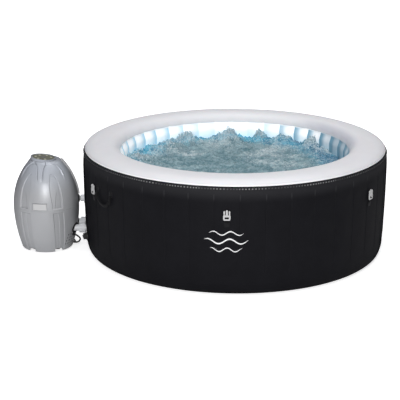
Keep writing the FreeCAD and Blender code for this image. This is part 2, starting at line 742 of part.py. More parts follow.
def button(angle):
    """One push button: a domed cap with a foot under the panel face."""
    spot = button_spot(angle)
    cap = rod(BUTTON_RADIUS, 6.0, spot + Vector(0, 0, -4.8))
    foot = rod(BUTTON_RADIUS + 1.5, 1.0, spot + Vector(0, 0, -4.8))
    return panel_place(fused(cap, foot))


def control_board():
    """Circuit board under the panel, with one tact switch below each button and the display block."""
    board = rod(PANEL_RADIUS - 8.0, 1.6, Vector(0, 0, -14.0))
    shapes = [board, block((-13, -21, -12.5), (13, 21, -5.0))]
    for angle in BUTTONS.values():
        shapes.append(rod(3.0, 5.7, button_spot(angle) + Vector(0, 0, -12.5)))
    return panel_place(fused(*shapes))


# ---- Pump internals -----------------------------------------------------------------------------


def screw_spots():
    return [in_pump(Part.Vertex(Vector(126.0, 0, 0)), 60.0 * i + 20.0).Point for i in range(6)]


def screw_bodies(grow=0.0):
    screws = []
    for spot in screw_spots():
        base = Vector(spot.x, spot.y, 0)
        shank = rod(2.0 + grow, 14.0, base + Vector(0, 0, 15.0))
        screws.append(fused(shank, rod(4.0, 3.0, base + Vector(0, 0, 14.0))))
    return screws


def base_plate():
    plate = rod(134.0, 5.0, Vector(PUMP_X, 0, 18.0))
    holes = [rod(2.1, 20.0, Vector(s.x, s.y, 10.0)) for s in screw_spots()]
    return plate.cut(Part.makeCompound(holes))


def rubber_feet():
    spots = [in_pump(Part.Vertex(Vector(92.0, 0, 0)), 90.0 * i + 45.0).Point for i in range(4)]
    return [Part.makeCone(16.0, 19.0, 17.5, Vector(s.x, s.y, 0)) for s in spots]


VOLUTE = Vector(PUMP_X + 40.0, -WATER_Y, WATER_Z)


def circulation_pump_body():
    """Motor, its shaft bore and the hollow volute that feeds the heater."""
    motor = rod(40.0, 112.0, VOLUTE - X * 112.0, X)
    volute = rod(46.0, 34.0, VOLUTE, X)
    foot, top = VOLUTE + Vector(-90.0, -22.0, 23.4 - WATER_Z), VOLUTE + Vector(-30.0, 22.0, -34.0)
    cradle = block(tuple(foot), tuple(top))
    body = fused(motor, volute, cradle)
    body = body.cut(rod(38.0, 26.0, VOLUTE + X * 4.0, X))
    body = body.cut(rod(PIPE["water"] + 0.3, 20.0, VOLUTE + X * 28.0, X))
    body = body.cut(rod(4.0 + RUNNING, 60.0, VOLUTE - X * 46.0, X))
    return body.cut(rod(10.0, 60.0, VOLUTE + Vector(17.0, 30.0, 0), Y))


def circulation_impeller():
    """Shaft, hub disc and swept vanes, turning about the volute's axis."""
    shapes = [
        rod(4.0, 52.0, VOLUTE - X * 40.0, X),
        rod(35.0, 3.0, VOLUTE + X * 6.0, X),
        rod(9.0, 16.0, VOLUTE + X * 6.0, X),
    ]
    for i in range(6):
        vane = block((6.0, 6.0, -1.2), (22.0, 34.0, 1.2))
        vane.rotate(Vector(0, 6, 0), X, 18.0)
        vane.rotate(ORIGIN, X, 60.0 * i)
        vane.translate(VOLUTE)
        shapes.append(vane)
    return fused(*shapes)


def heater_tube():
    """Closed steel tube with a side inlet from the volute and an end outlet to the return pipe."""
    x0, x1, r, wall = PUMP_X - 70.0, PUMP_X + 72.0, 27.0, 2.0
    side = Vector(VOLUTE.x + 17.0, 0, WATER_Z)
    tube_outer = rod(r, x1 - x0, Vector(x0, WATER_Y, WATER_Z), X)
    stub_outer = rod(9.7, 58.0, side + Vector(0, 42.0 - WATER_Y, 0), Y)
    terminals = [rod(4.0, 12.0, Vector(x0 - 12.0, WATER_Y + dy, WATER_Z), X) for dy in (-10.0, 10.0)]
    tube_inner = rod(r - wall, x1 - x0 - 2 * wall, Vector(x0 + wall, WATER_Y, WATER_Z), X)
    stub_inner = rod(7.5, 66.0, side + Vector(0, 41.0 - WATER_Y, 0), Y)
    outlet = rod(PIPE["water"] - PIPE_WALL, 10.0, Vector(x1 - 5.0, WATER_Y, WATER_Z), X)
    return fused(tube_outer, stub_outer, *terminals).cut(tube_inner).cut(stub_inner).cut(outlet)


BLOWER = Vector(PUMP_X - 20.0, 0, AIR_Z - 22.0)


def blower_housing():
    """Upright motor under a round fan case with an air intake on top and a side outlet."""
    case = fused(
        rod(82.0, 44.0, BLOWER),
        rod(44.0, 62.0, BLOWER - Z * 62.0),
        rod(PIPE["air"] + 4.0, 110.0, Vector(BLOWER.x, 0, AIR_Z), X),
    )
    case = case.cut(rod(78.0, 36.0, BLOWER + Z * 4.0))
    case = case.cut(rod(26.0, 10.0, BLOWER + Z * 38.0))
    case = case.cut(rod(PIPE["air"] + 0.3, 120.0, Vector(BLOWER.x + 60.0, 0, AIR_Z), X))
    return case.cut(rod(4.0 + RUNNING, 50.0, BLOWER - Z * 46.0))


def blower_impeller():
    hub = BLOWER + Z * 8.0
    shapes = [rod(4.0, 50.0, BLOWER - Z * 40.0), rod(70.0, 2.0, hub), rod(14.0, 20.0, hub)]
    for i in range(12):
        vane = block((12.0, -1.0, 8.0), (68.0, 1.0, 30.0))
        vane.rotate(ORIGIN, Z, 30.0 * i)
        vane.translate(BLOWER)
        shapes.append(vane)
    return fused(*shapes)


def power_board():
    """Driver and relay board standing on the base plate behind the circulation pump."""
    x, y = PUMP_X - 95.0, 20.0
    shapes = [
        block((x, y - 35.0, 23.4), (x + 2.0, y + 45.0, 120.0)),
        block((x + 2.0, y - 20.0, 60.0), (x + 22.0, y + 10.0, 95.0)),
        rod(9.0, 24.0, Vector(x + 2.0, y + 28.0, 80.0), X),
    ]
    return fused(*shapes)


def power_cord():
    """Mains cable from the casing, looping down to the ground behind the unit, and its moulded plug."""
    radius = 5.0
    reach = [
        (-1000.0, -66.0, 96.0),
        (-975.0, -77.2, 96.0),
        (-957.0, -85.3, 96.0),
        (-937.0, -93.5, 88.0),
        (-923.0, -98.0, 72.0),
        (-932.0, -100.0, 56.0),
        (-950.0, -93.0, 49.0),
        (-962.0, -74.0, 43.0),
        (-965.0, -48.0, 35.0),
        (-964.0, -14.0, 24.5),
        (-964.0, 20.0, 13.0),
        (-968.0, 58.0, 6.2),
        (-985.0, 108.0, 5.4),
        (-1015.0, 165.0, 5.2),
        (-1062.0, 218.0, 5.2),
        (-1120.0, 238.0, 5.2),
    ]
    curve = Part.BSplineCurve()
    curve.interpolate([Vector(*p) for p in reach])
    path = Part.Wire(curve.toShape())
    start_tangent = path.Edges[0].tangentAt(path.Edges[0].FirstParameter)
    section = Part.Wire(Part.makeCircle(radius, Vector(*reach[0]), start_tangent))
    cable = path.makePipeShell([section], True, True)
    plug = block((-1178.0, 216.0, 0.5), (-1120.5, 260.0, 30.0))
    plug = plug.makeFillet(5.0, plug.Edges)
    blades = [block((-1197.0, y, 12.0), (-1176.0, y + 1.6, 18.5)) for y in (231.0, 243.5)]
    pin = rod(2.4, 22.0, Vector(-1176.0, 238.0, 23.5), -X)
    plug = fused(plug, *blades, pin)
    return [cable, plug]


# ---- Assembly -----------------------------------------------------------------------------------


def build_tub():
    save("outer_wall", outer_wall())
    save("inner_wall", inner_wall())
    save("top_ring", top_ring())
    save("floor_sheet", floor_sheet())
    save("outer_seam_band", outer_seam_band())
    save("beam_webs", *beam_webs())
    save("bubble_channel", bubble_channel())


def build_wall_hardware():
    radius = wall_radius(BUCKLE_PIVOT_Z)
    loops = []
    for i in range(BUCKLE_COUNT):
        azimuth = BUCKLE_AZIMUTH + 360.0 / BUCKLE_COUNT * i
        loop = webbing_loop(BUCKLE_WEBBING_WIDTH, BUCKLE_STANDOFF, -1, 0.0, 5.2, open_front=True)
        loops.append(on_wall(loop, azimuth, radius, BUCKLE_PIVOT_Z))
        save("lid_buckle_%d" % (i + 1), on_wall(buckle(), azimuth, radius + BUCKLE_STANDOFF, BUCKLE_PIVOT_Z))
    save("buckle_loops", *loops)
    anchors = []
    radius = wall_radius(HANDLE_PIVOT_Z)
    for side, azimuth in HANDLE_AZIMUTHS.items():
        for s in (-1, 1):
            anchor = webbing_loop(16.0, BUCKLE_STANDOFF, 1, -1.3)
            anchor.translate(Vector(0, s * HANDLE_HALF_SPAN, 0))
            anchors.append(on_wall(anchor, azimuth, radius, HANDLE_PIVOT_Z))
        save("carry_handle_" + side, on_wall(handle(), azimuth, radius + BUCKLE_STANDOFF, HANDLE_PIVOT_Z))
    save("handle_anchors", *anchors)


def build_valves():
    radius = wall_radius(INFLATION_Z)
    for name, part in zip(("body", "stem", "cap"), inflation_valve()):
        save("inflation_valve_" + name, on_wall(part, INFLATION_AZIMUTH, radius, INFLATION_Z))
    radius = wall_radius(DRAIN_Z)
    body, cap = drain_valve(radius - INNER_RADIUS + 4.5)
    save("drain_valve_body", on_wall(body, DRAIN_AZIMUTH, radius, DRAIN_Z))
    save("drain_cap", on_wall(cap, DRAIN_AZIMUTH, radius, DRAIN_Z))


def build_couplings():
    save("water_ports", water_port(-WATER_Y), water_port(WATER_Y))
    save("air_port", air_port())
    ends = {
        "water_front": ("water", -WATER_Y, WATER_Z),
        "water_rear": ("water", WATER_Y, WATER_Z),
        "air": ("air", 0.0, AIR_Z),
    }
    for name, (kind, y, z) in ends.items():
        save("coupling_nut_" + name, coupling_nut(kind, y, z))
    save("coupling_seals", *[coupling_seal(*end) for end in ends.values()])
    front = pump_pipe("water", -WATER_Y, WATER_Z, VOLUTE.x + 28.5)
    rear = pump_pipe("water", WATER_Y, WATER_Z, PUMP_X + 72.5)
    save("water_pipes", front, rear)
    save("air_pipe", pump_pipe("air", 0.0, AIR_Z, PUMP_X + 62.0))


def build_filter():
    save("filter_housing", filter_housing(-WATER_Y))
    save("filter_cartridge", filter_cartridge(-WATER_Y))
    save("filter_cap", filter_cap(-WATER_Y))
    save("outlet_screen", outlet_screen(WATER_Y))


def build_pump():
    save("pump_lower_shell", lower_shell())
    save("pump_upper_shell", upper_shell())
    save("badge_plate", badge_plate())
    save("spine_cover", spine_cover())
    save("pipe_grommets", *pipe_grommets())
    save("pump_base_plate", base_plate())
    save("rubber_feet", *rubber_feet())
    save("case_screws", *screw_bodies())
    save("control_collar", control_collar())
    save("control_panel", control_panel())
    save("display_lens", display_lens())
    save("control_board", control_board())
    for name, angle in BUTTONS.items():
        save("button_" + name, button(angle))
    save("circulation_pump_body", circulation_pump_body())
    save("circulation_impeller", circulation_impeller())
    save("heater_tube", heater_tube())
    save("blower_housing", blower_housing())
    save("blower_impeller", blower_impeller())
    save("power_board", power_board())
    save("power_cord", *power_cord())


def main():
    os.makedirs("parts", exist_ok=True)
    build_tub()
    build_wall_hardware()
    build_valves()
    build_couplings()
    build_filter()
    build_pump()
    print(len(os.listdir("parts")), "nodes written")


main()
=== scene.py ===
"""Looks of a round inflatable hot tub with its pump unit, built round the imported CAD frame.

Metres throughout. An azimuth runs from -Y towards +X. The pump unit stands on the -X side.
"""

import json
import math

import bmesh
import bpy
import numpy as np
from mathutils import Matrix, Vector


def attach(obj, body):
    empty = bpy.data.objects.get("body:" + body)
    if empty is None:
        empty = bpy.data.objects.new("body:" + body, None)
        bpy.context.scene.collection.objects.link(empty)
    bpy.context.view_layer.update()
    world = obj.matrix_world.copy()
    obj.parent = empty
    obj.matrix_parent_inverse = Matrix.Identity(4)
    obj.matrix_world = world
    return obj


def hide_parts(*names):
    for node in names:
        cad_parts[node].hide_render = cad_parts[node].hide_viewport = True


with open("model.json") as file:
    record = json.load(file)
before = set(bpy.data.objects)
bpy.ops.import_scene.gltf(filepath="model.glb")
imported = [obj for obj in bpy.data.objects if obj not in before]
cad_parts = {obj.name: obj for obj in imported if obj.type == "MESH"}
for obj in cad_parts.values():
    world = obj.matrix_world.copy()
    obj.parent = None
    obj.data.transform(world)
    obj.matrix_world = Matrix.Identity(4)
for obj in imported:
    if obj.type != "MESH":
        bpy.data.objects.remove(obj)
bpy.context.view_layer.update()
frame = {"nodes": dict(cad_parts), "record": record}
NODES = frame["nodes"]

# ---- sizes

TURN = 2 * math.pi
PANELS = 40
CREASE_PHASE = 0.5  # azimuth of one wall crease
CREASE_LOW, CREASE_HIGH = 0.115, 0.588
SEAM_Z = 0.6200
WIDEST_Z, WIDEST_RADIUS = 0.560, 0.900
WALL_INSET = 0.0015  # keeps the swollen skin inside the CAD box
WALL_SWELL, LINER_SWELL = 0.0045, 0.0105  # most that a blown-up panel may stand out
LINER_RADIUS, LINER_BELLY = 0.686, 0.014
CLOTH_FRAMES = 20
BUCKLE_AZIMUTH = -4.0
HANDLE_AZIMUTHS = {"left": -56.0, "right": 124.0}
WATER_LEVEL, WATER_RADIUS = 0.500, 0.672
DROPS = 900

PUMP_AXIS = (-1.129, 0.0)
PUMP_RADIUS = 0.196
PUMP_COLUMNS = 1080
BELT_Z, NECK_Z, DECK_Z = 0.268, 0.527, 0.5415  # widest part, start of the neck, seat of the collar
UPPER_ARC, LOWER_ARC = 0.404, 0.786  # radii of the egg's two arcs
FRONT = -5.5  # azimuth that the badge faces; the same face repeats behind
FACES = (FRONT, FRONT + 180.0)
PANEL_TILT = math.radians(5.5)
PANEL_CENTRE = np.array([PUMP_AXIS[0] - 0.010, 0.0, 0.5505])
COLLAR_RADIUS = 0.0766

WORLD_LEVEL, WORLD_SIDES = 0.42, 0.24  # studio light from all round, and its share from the sides
EYE, EYE_PITCH, EYE_TURN, LENS = (-0.211, -7.894, 2.650), 16.685, -0.035, 123.4


def outward(azimuth):
    """Level unit vector at an azimuth in degrees."""
    a = np.radians(azimuth)
    return np.stack([np.sin(a), -np.cos(a), np.zeros_like(a)], -1)


def around(columns):
    """Azimuths all the way round."""
    return np.linspace(0, 360, columns, endpoint=False)


def up(height):
    return np.array([0, 0, height])


def unit(vectors):
    return vectors / np.linalg.norm(vectors, axis=-1, keepdims=True)


def smooth(edge0, edge1, x):
    """0 at edge0 and 1 at edge1, easing in and out; the edges may come in either order."""
    t = np.clip((x - edge0) / (edge1 - edge0), 0.0, 1.0)
    return t * t * (3 - 2 * t)


def plateau(x, rise, top, end, fall):
    """1 between top and end, easing down to 0 at rise and fall."""
    return smooth(rise, top, x) * (1 - smooth(end, fall, x))


def bell(x, width):
    """1 at zero, falling away smoothly over about `width`."""
    return np.exp(-((x / width) ** 2))


def wall_radius(z):
    """Outer radius of the wall, drawn in quickly above its widest height and slowly below it."""
    high = WIDEST_RADIUS - (z - WIDEST_Z) ** 2 / 0.410
    low = WIDEST_RADIUS - (z - WIDEST_Z) ** 2 / 19.08
    return np.where(z >= WIDEST_Z, high, low)


def on_wall(az, z, lift):
    """Points that stand `lift` proud of the wall."""
    points = outward(az) * (wall_radius(z) + lift)[:, None]
    points[:, 2] = z
    return points


# ---- seeded noise


LATTICE_CELLS = 64
LATTICE = np.random.default_rng(11).random((LATTICE_CELLS,) * 3).astype(np.float32)


def noise(p, scale, seed=0):
    """Smooth value noise in 0..1 at points p, with `scale` cells per metre."""
    q = np.asarray(p, float) * scale + 17.3 * (seed + 1)
    i = np.floor(q).astype(int)
    f = q - i
    f = f * f * (3 - 2 * f)
    out = 0.0
    for corner in np.ndindex(2, 2, 2):
        weight = [f[..., k] if step else 1 - f[..., k] for k, step in enumerate(corner)]
        value = LATTICE[tuple((i[..., k] + step) % LATTICE_CELLS for k, step in enumerate(corner))]
        out = out + weight[0] * weight[1] * weight[2] * value
    return out


def fractal(p, scale, octaves, seed=0, gain=0.5, ridged=False):
    """Octaves of noise, each about twice as fine and `gain` times as strong as the one before."""
    total, amp, norm = 0.0, 1.0, 0.0
    for k in range(octaves):
        n = noise(p, scale * 2.03**k, seed + 5 * k)
        if ridged:
            n = 1 - np.abs(2 * n - 1)
        total = total + amp * n
        norm += amp
        amp *= gain
    return total / norm


# ---- meshes


def new_object(name, mesh, material=None, body=None, node=None, slot=None):
    """Links a mesh as a piece that rides on a body and may stand for a CAD node.

    The slot argument is not used.
    """
    obj = bpy.data.objects.new(name, mesh)
    bpy.context.scene.collection.objects.link(obj)
    if material:
        mesh.materials.append(MAT[material])
    if body:
        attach(obj, body)
    if node:
        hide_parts(node)
    return obj


def grid(name, points, *look, slot=None, wrap_u=True, wrap_v=False, flip=False, **attributes):
    """A quad mesh from points[v, u], smooth shaded. `look` goes on to new_object.

    Each attribute has values of the same grid.
    """
    nv, nu = points.shape[:2]
    index = np.arange(nv * nu).reshape(nv, nu)
    a = index if wrap_v else index[:-1]
    b = np.roll(index, -1, 0) if wrap_v else index[1:]
    if wrap_u:
        quads = np.stack([a, np.roll(a, -1, 1), np.roll(b, -1, 1), b], -1)
    else:
        quads = np.stack([a[:, :-1], a[:, 1:], b[:, 1:], b[:, :-1]], -1)
    quads = quads.reshape(-1, 4)
    if flip:
        quads = quads[:, ::-1]
    mesh = bpy.data.meshes.new(name)
    mesh.vertices.add(nv * nu)
    mesh.vertices.foreach_set("co", points.reshape(-1).astype(np.float32))
    mesh.loops.add(quads.size)
    mesh.loops.foreach_set("vertex_index", quads.reshape(-1).astype(np.int32))
    mesh.polygons.add(len(quads))
    mesh.polygons.foreach_set("loop_start", np.arange(0, quads.size, 4, dtype=np.int32))
    mesh.update(calc_edges=True)
    mesh.polygons.foreach_set("use_smooth", np.ones(len(quads), bool))
    for key, values in attributes.items():
        layer = mesh.attributes.new(key, "FLOAT", "POINT")
        layer.data.foreach_set("value", np.asarray(values, np.float32).reshape(-1))
    mesh.validate()
    return new_object(name, mesh, *look, slot=slot)


def revolve(name, outline, columns, material, node=None, radial=None, slot=None, flip=False, **attributes):
    """Turns (r, z) rows about the tub's axis; radial(azimuth, r, z) may move the points.

    Each attribute is a function of azimuth, r and z.
    """
    r, z = np.array(outline, float).T
    az = around(columns)
    rr = np.repeat(r[:, None], columns, 1)
    zz = np.repeat(z[:, None], columns, 1)
    aa = np.repeat(az[None], len(r), 0)
    if radial is not None:
        rr, zz = radial(aa, rr, zz)
    points = outward(aa) * rr[..., None]
    points[..., 2] = zz
    made = {key: values(aa, rr, zz) for key, values in attributes.items()}
    grid(name, points, material, "tub", node, slot=slot, flip=flip, **made)


def spline(points, count):
    """Catmull-Rom points, evenly spaced along the curve."""
    p = np.array(points, float)
    ext = np.vstack([2 * p[0] - p[1], p, 2 * p[-1] - p[-2]])
    fine = []
    for i in range(1, len(ext) - 2):
        t = np.linspace(0, 1, 60, endpoint=False)[:, None]
        p0, p1, p2, p3 = ext[i - 1], ext[i], ext[i + 1], ext[i + 2]
        square, cube = 2 * p0 - 5 * p1 + 4 * p2 - p3, 3 * p1 - p0 - 3 * p2 + p3
        fine.append(0.5 * (2 * p1 + (p2 - p0) * t + square * t**2 + cube * t**3))
    fine = np.vstack(fine + [p[-1:]])
    length = np.concatenate([[0], np.cumsum(np.linalg.norm(np.diff(fine, axis=0), axis=1))])
    at = np.linspace(0, length[-1], count)
    return np.stack([np.interp(at, length, fine[:, k]) for k in range(p.shape[1])], -1)


def crease_distance(az):
    """Distance in degrees from the nearest wall crease, and -1..1 across each panel."""
    pitch = 360.0 / PANELS
    u = (az - CREASE_PHASE) / pitch
    near = np.abs(u - np.round(u)) * pitch
    return near, 2 * (u - np.floor(u)) - 1


# ---- materials


def shade(color, times):
    """The same colour, darker or lighter."""
    return tuple(min(1.0, c * times) for c in color)


class Nodes:
    """Adds nodes to the tree of a material or world.

    Inputs are given in order, or by name with underscores for spaces.
    """

    def __init__(self, owner):
        owner.use_nodes = True
        self.tree = owner.node_tree
        self.tree.nodes.clear()

    def node(self, kind, props=None, *values, **inputs):
        n = self.tree.nodes.new(kind)
        for key, value in (props or {}).items():
            setattr(n, key, value)
        for key, value in [*enumerate(values), *inputs.items()]:
            self.put(n, key, value)
        return n

    def put(self, node, key, value):
        socket = node.inputs[key.replace("_", " ") if isinstance(key, str) else key]
        if isinstance(value, bpy.types.NodeSocket):
            self.tree.links.new(value, socket)
        elif isinstance(value, tuple) and len(value) == 3 and len(socket.default_value) == 4:
            socket.default_value = (*value, 1.0)
        else:
            socket.default_value = value


class Shader(Nodes):
    """Small helper that builds one node material round a Principled surface."""

    def __init__(self, name):
        self.material = bpy.data.materials.new(name)
        super().__init__(self.material)
        self.surface = self.node("ShaderNodeBsdfPrincipled")
        self.node("ShaderNodeOutputMaterial", Surface=self.surface.outputs[0])
        self.coords = self.node("ShaderNodeTexCoord").outputs["Object"]

    def set(self, **inputs):
        for key, value in inputs.items():
            self.put(self.surface, key, value)

    def base(self):
        return self.surface.inputs["Base Color"].links[0].from_socket

    def noise(self, scale, detail=3.0, rough=0.55, vector=None, distortion=0.0):
        n = self.node("ShaderNodeTexNoise", Vector=vector or self.coords, Scale=scale, Detail=detail)
        self.put(n, "Roughness", rough)
        self.put(n, "Distortion", distortion)
        return n.outputs["Fac"]

    def scale_to(self, value, low, high, from_low=0.0, from_high=1.0):
        return self.node("ShaderNodeMapRange", None, value, from_low, from_high, low, high).outputs[0]

    def mask(self, value, from_low, from_high):
        return self.scale_to(value, 0.0, 1.0, from_low, from_high)

    def mix(self, factor, a, b):
        n = self.node("ShaderNodeMix", {"data_type": "RGBA"}, factor)
        self.put(n, 6, a)
        self.put(n, 7, b)
        return n.outputs[2]

    def math(self, operation, a, b=0.0):
        return self.node("ShaderNodeMath", {"operation": operation}, a, b).outputs[0]

    def bump(self, height, strength, distance, normal=None):
        n = self.node("ShaderNodeBump", Strength=strength, Distance=distance, Height=height)
        if normal is not None:
            self.put(n, "Normal", normal)
        return n.outputs["Normal"]

    def attribute(self, name):
        return self.node("ShaderNodeAttribute", {"attribute_name": name}).outputs["Fac"]


def vinyl(name, color, roughness, specular, mottling=0.06, grain=0.12, wave=0.10, coat=0.0, subsurface=0.0):
    """Coated sheet: fine grain, slow waviness, slightly uneven colour and gloss."""
    s = Shader(name)
    blotch = s.mask(s.noise(9.0, 4.0), 0.3, 0.7)
    tone = s.mix(blotch, shade(color, 1 - mottling), shade(color, 1 + mottling))
    wear = s.scale_to(s.noise(260.0, 2.0), roughness - 0.05, roughness + 0.07)
    fine = s.bump(s.noise(1400.0, 2.0), grain, 0.0006)
    slow = s.bump(s.noise(22.0, 2.0), wave, 0.004, fine)
    s.set(Base_Color=tone, Roughness=wear, Normal=slow, Specular_IOR_Level=specular)
    s.set(Coat_Weight=coat, Coat_Roughness=0.35, Subsurface_Weight=subsurface, Subsurface_Scale=0.01)
    return s


def moulded(name, color, roughness=0.4, specular=0.5, texture=0.08, speckle=0.03, coat=0.0):
    """Injection-moulded plastic: spark-eroded fine texture and slight tone variation."""
    s = Shader(name)
    tone = s.mix(s.noise(14.0, 3.0), shade(color, 1 - speckle), shade(color, 1 + speckle))
    wear = s.scale_to(s.noise(420.0, 2.0), roughness - 0.04, roughness + 0.06)
    s.set(Base_Color=tone, Roughness=wear, Specular_IOR_Level=specular)
    s.set(Normal=s.bump(s.noise(1700.0, 2.0), texture, 0.0005), Coat_Weight=coat, Coat_Roughness=0.15)
    return s.material


def woven(name, color, pitch=700.0):
    """Webbing: crossed yarns with a soft sheen."""
    s = Shader(name)
    waves = []
    for axis in ("X", "Z"):
        bands = {"bands_direction": axis, "wave_profile": "SIN"}
        waves.append(s.node("ShaderNodeTexWave", bands, Scale=pitch / 6.28, Vector=s.coords).outputs["Fac"])
    cross = s.math("MAXIMUM", waves[0], waves[1])
    s.set(Base_Color=s.mix(cross, shade(color, 0.55), color), Roughness=0.8)
    s.set(Specular_IOR_Level=0.10, Sheen_Weight=0.03, Normal=s.bump(cross, 0.4, 0.0006))
    return s.material


def rubber(name, color):
    """Dull black rubber, slightly dusty."""
    s = Shader(name)
    tone = s.mix(s.noise(60.0, 4.0), shade(color, 0.8), shade(color, 1.25))
    s.set(Base_Color=tone, Roughness=s.scale_to(s.noise(300.0), 0.55, 0.75), Specular_IOR_Level=0.3)
    s.set(Normal=s.bump(s.noise(900.0), 0.12, 0.0006))
    return s.material


def metal(name, color, roughness, stretch=(1.0, 60.0, 60.0)):
    """Brushed metal; the brush lines run along the axis that is stretched least."""
    s = Shader(name)
    m = s.node("ShaderNodeMapping", Vector=s.coords, Scale=stretch)
    lines = s.noise(14.0, 4.0, vector=m.outputs[0])
    s.set(Base_Color=s.mix(lines, shade(color, 0.8), color), Metallic=1.0)
    s.set(Roughness=s.scale_to(lines, roughness - 0.08, roughness + 0.1), Normal=s.bump(lines, 0.06, 0.0005))
    return s.material


def black_wall_material():
    """Matt black vinyl with a painted sheen: paler along its creases and on its top band, with no shine
    where it turns away.
    """
    s = vinyl("black_vinyl", (0.0082, 0.0082, 0.0102), 0.52, 0.055, 0.10, 0.14, 0.05)
    # painted sheen: the creases and the top band of the wall are mixed paler, standing in for light catching
    # them
    painted_sheen = s.mix(s.attribute("crease"), s.base(), (0.048, 0.048, 0.052))
    turned = s.node("ShaderNodeLayerWeight", Blend=0.5).outputs["Facing"]
    s.set(Base_Color=painted_sheen, Specular_IOR_Level=s.scale_to(turned, 0.065, 0.0, 0.40, 0.88))
    return s.material


def piping_material():
    """Gathered black piping, with painted highlights on the crests of its gathers."""
    s = vinyl("black_piping", (0.019, 0.019, 0.022), 0.45, 0.09, 0.3, 0.3, 0.2)
    # painted highlight on the crests of the gathers
    s.set(Base_Color=s.mix(s.attribute("rub"), s.base(), (0.30, 0.30, 0.30)))
    return s.material


def ring_material():
    """White vinyl, with painted shade on its inner slope at the back right and a painted highlight along its
    outer weld.
    """
    s = vinyl("white_vinyl", (0.765, 0.765, 0.785), 0.42, 0.30, 0.015, 0.05, 0.05, subsurface=0.05)
    # painted shade: the inner slope at the back right is mixed grey-lilac
    tone = s.mix(s.attribute("hollow"), s.base(), (0.42, 0.43, 0.50))
    # painted highlight: the outer weld is mixed near white
    s.set(Base_Color=s.mix(s.attribute("edge"), tone, (0.97, 0.97, 0.98)))
    return s.material


def liner_material():
    """Pale liner, bluer towards the water, with painted shade darkening each pleat towards one side and the
    right side of the tub, and a painted glow.
    """
    s = vinyl("liner_vinyl", (0.95, 0.965, 0.975), 0.35, 0.30, 0.015, 0.05, 0.05)
    near_water = s.mix(s.attribute("depth"), s.base(), (0.62, 0.82, 0.90))
    # painted shade: each pleat darkens towards one edge
    tone = s.mix(s.attribute("fold"), near_water, (0.36, 0.60, 0.74))
    # painted shade: darker blue on the right side and in its pleat folds
    tone = s.mix(s.math("MULTIPLY", s.attribute("dusk"), 0.85), tone, (0.10, 0.24, 0.34))
    # painted light: emission from the glow attribute brightens the liner
    s.set(Base_Color=tone, Emission_Color=tone, Emission_Strength=s.attribute("glow"))
    return s.material


def water_material():
    """Aerated water: teal to cyan body colour, milky foam on the crests."""
    s = Shader("aerated_water")
    foam, cyan, deep = s.attribute("foam"), s.attribute("cyan"), s.attribute("deep")
    churn = s.mask(s.noise(15.0, 9.0, 0.66, distortion=1.6), 0.38, 0.64)
    grey_teal = s.mix(churn, (0.040, 0.135, 0.165), (0.230, 0.365, 0.400))
    bright = s.mix(churn, (0.012, 0.250, 0.420), (0.080, 0.520, 0.700))
    body = s.mix(cyan, grey_teal, bright)
    deep_tone = s.mix(cyan, (0.045, 0.140, 0.180), (0.020, 0.150, 0.265))
    body = s.mix(deep, body, deep_tone)
    grains = s.mask(s.noise(105.0, 3.0, 0.6), 0.55, 0.64)
    body = s.mix(s.math("MULTIPLY", grains, s.attribute("bubbly")), body, (0.52, 0.66, 0.72))
    fizz = s.mask(s.noise(95.0, 6.0, 0.72, distortion=0.8), 0.42, 0.64)
    lace = s.math("MULTIPLY", foam, s.math("ADD", s.math("MULTIPLY", fizz, 0.85), 0.20))
    white = s.mix(s.noise(60.0, 4.0), (0.38, 0.46, 0.49), (0.72, 0.77, 0.80))
    s.set(Base_Color=s.mix(lace, body, white), Roughness=s.scale_to(lace, 0.12, 0.5), IOR=1.33)
    ripple = s.bump(s.noise(75.0, 5.0, 0.6, distortion=0.8), 0.55, 0.006)
    s.set(Normal=s.bump(s.noise(330.0, 3.0), 0.35, 0.0015, ripple), Specular_IOR_Level=0.6)
    return s.material


def droplet_material():
    """Clear, shiny drops with a little foam in them."""
    s = Shader("water_droplets")
    tone = s.mix(s.noise(50.0), (0.35, 0.55, 0.63), (0.80, 0.86, 0.88))
    s.set(Base_Color=tone, Roughness=0.08, Specular_IOR_Level=0.8, IOR=1.33)
    return s.material


def case_material():
    """Glossy silver-grey moulding, with a painted highlight making it lighter towards the top, and painted
    shade darkening its outline and making it a little darker in the recesses.
    """
    s = Shader("case_plastic")
    flake = s.noise(900.0, 2.0)
    tone = s.mix(s.noise(7.0, 3.0), (0.415, 0.422, 0.435), (0.465, 0.472, 0.485))
    tone = s.mix(s.scale_to(flake, 0.0, 0.12, 0.4, 0.8), tone, (0.62, 0.63, 0.66))
    # painted highlight: lighter, bluer tone towards the top of the casing
    height = s.node("ShaderNodeSeparateXYZ", Vector=s.coords).outputs["Z"]
    tone = s.mix(s.scale_to(height, 0.0, 0.85, 0.36, 0.50), tone, (0.450, 0.482, 0.535))
    # painted shade: the outline darkens where the surface turns away from the camera, less so near the
    # bottom
    turned = s.node("ShaderNodeLayerWeight", Blend=0.5).outputs["Facing"]
    low_fade = s.scale_to(height, 0.35, 1.0, 0.08, 0.20)
    edge = s.math("MULTIPLY", s.scale_to(turned, 0.0, 0.82, 0.36, 0.90), low_fade)
    tone = s.mix(edge, tone, (0.085, 0.088, 0.100))
    # painted shade in the recesses, gutters and leaf folds, and a painted shadow outline round the badge
    # plate
    recess = s.math("MULTIPLY", s.attribute("recess"), 0.10)
    s.set(Base_Color=s.mix(recess, tone, (0.16, 0.165, 0.18)))
    s.set(Roughness=s.scale_to(s.noise(380.0), 0.36, 0.46), Specular_IOR_Level=0.45, Metallic=0.15)
    s.set(Normal=s.bump(s.noise(1500.0), 0.05, 0.0005), Coat_Weight=0.10, Coat_Roughness=0.30)
    return s.material


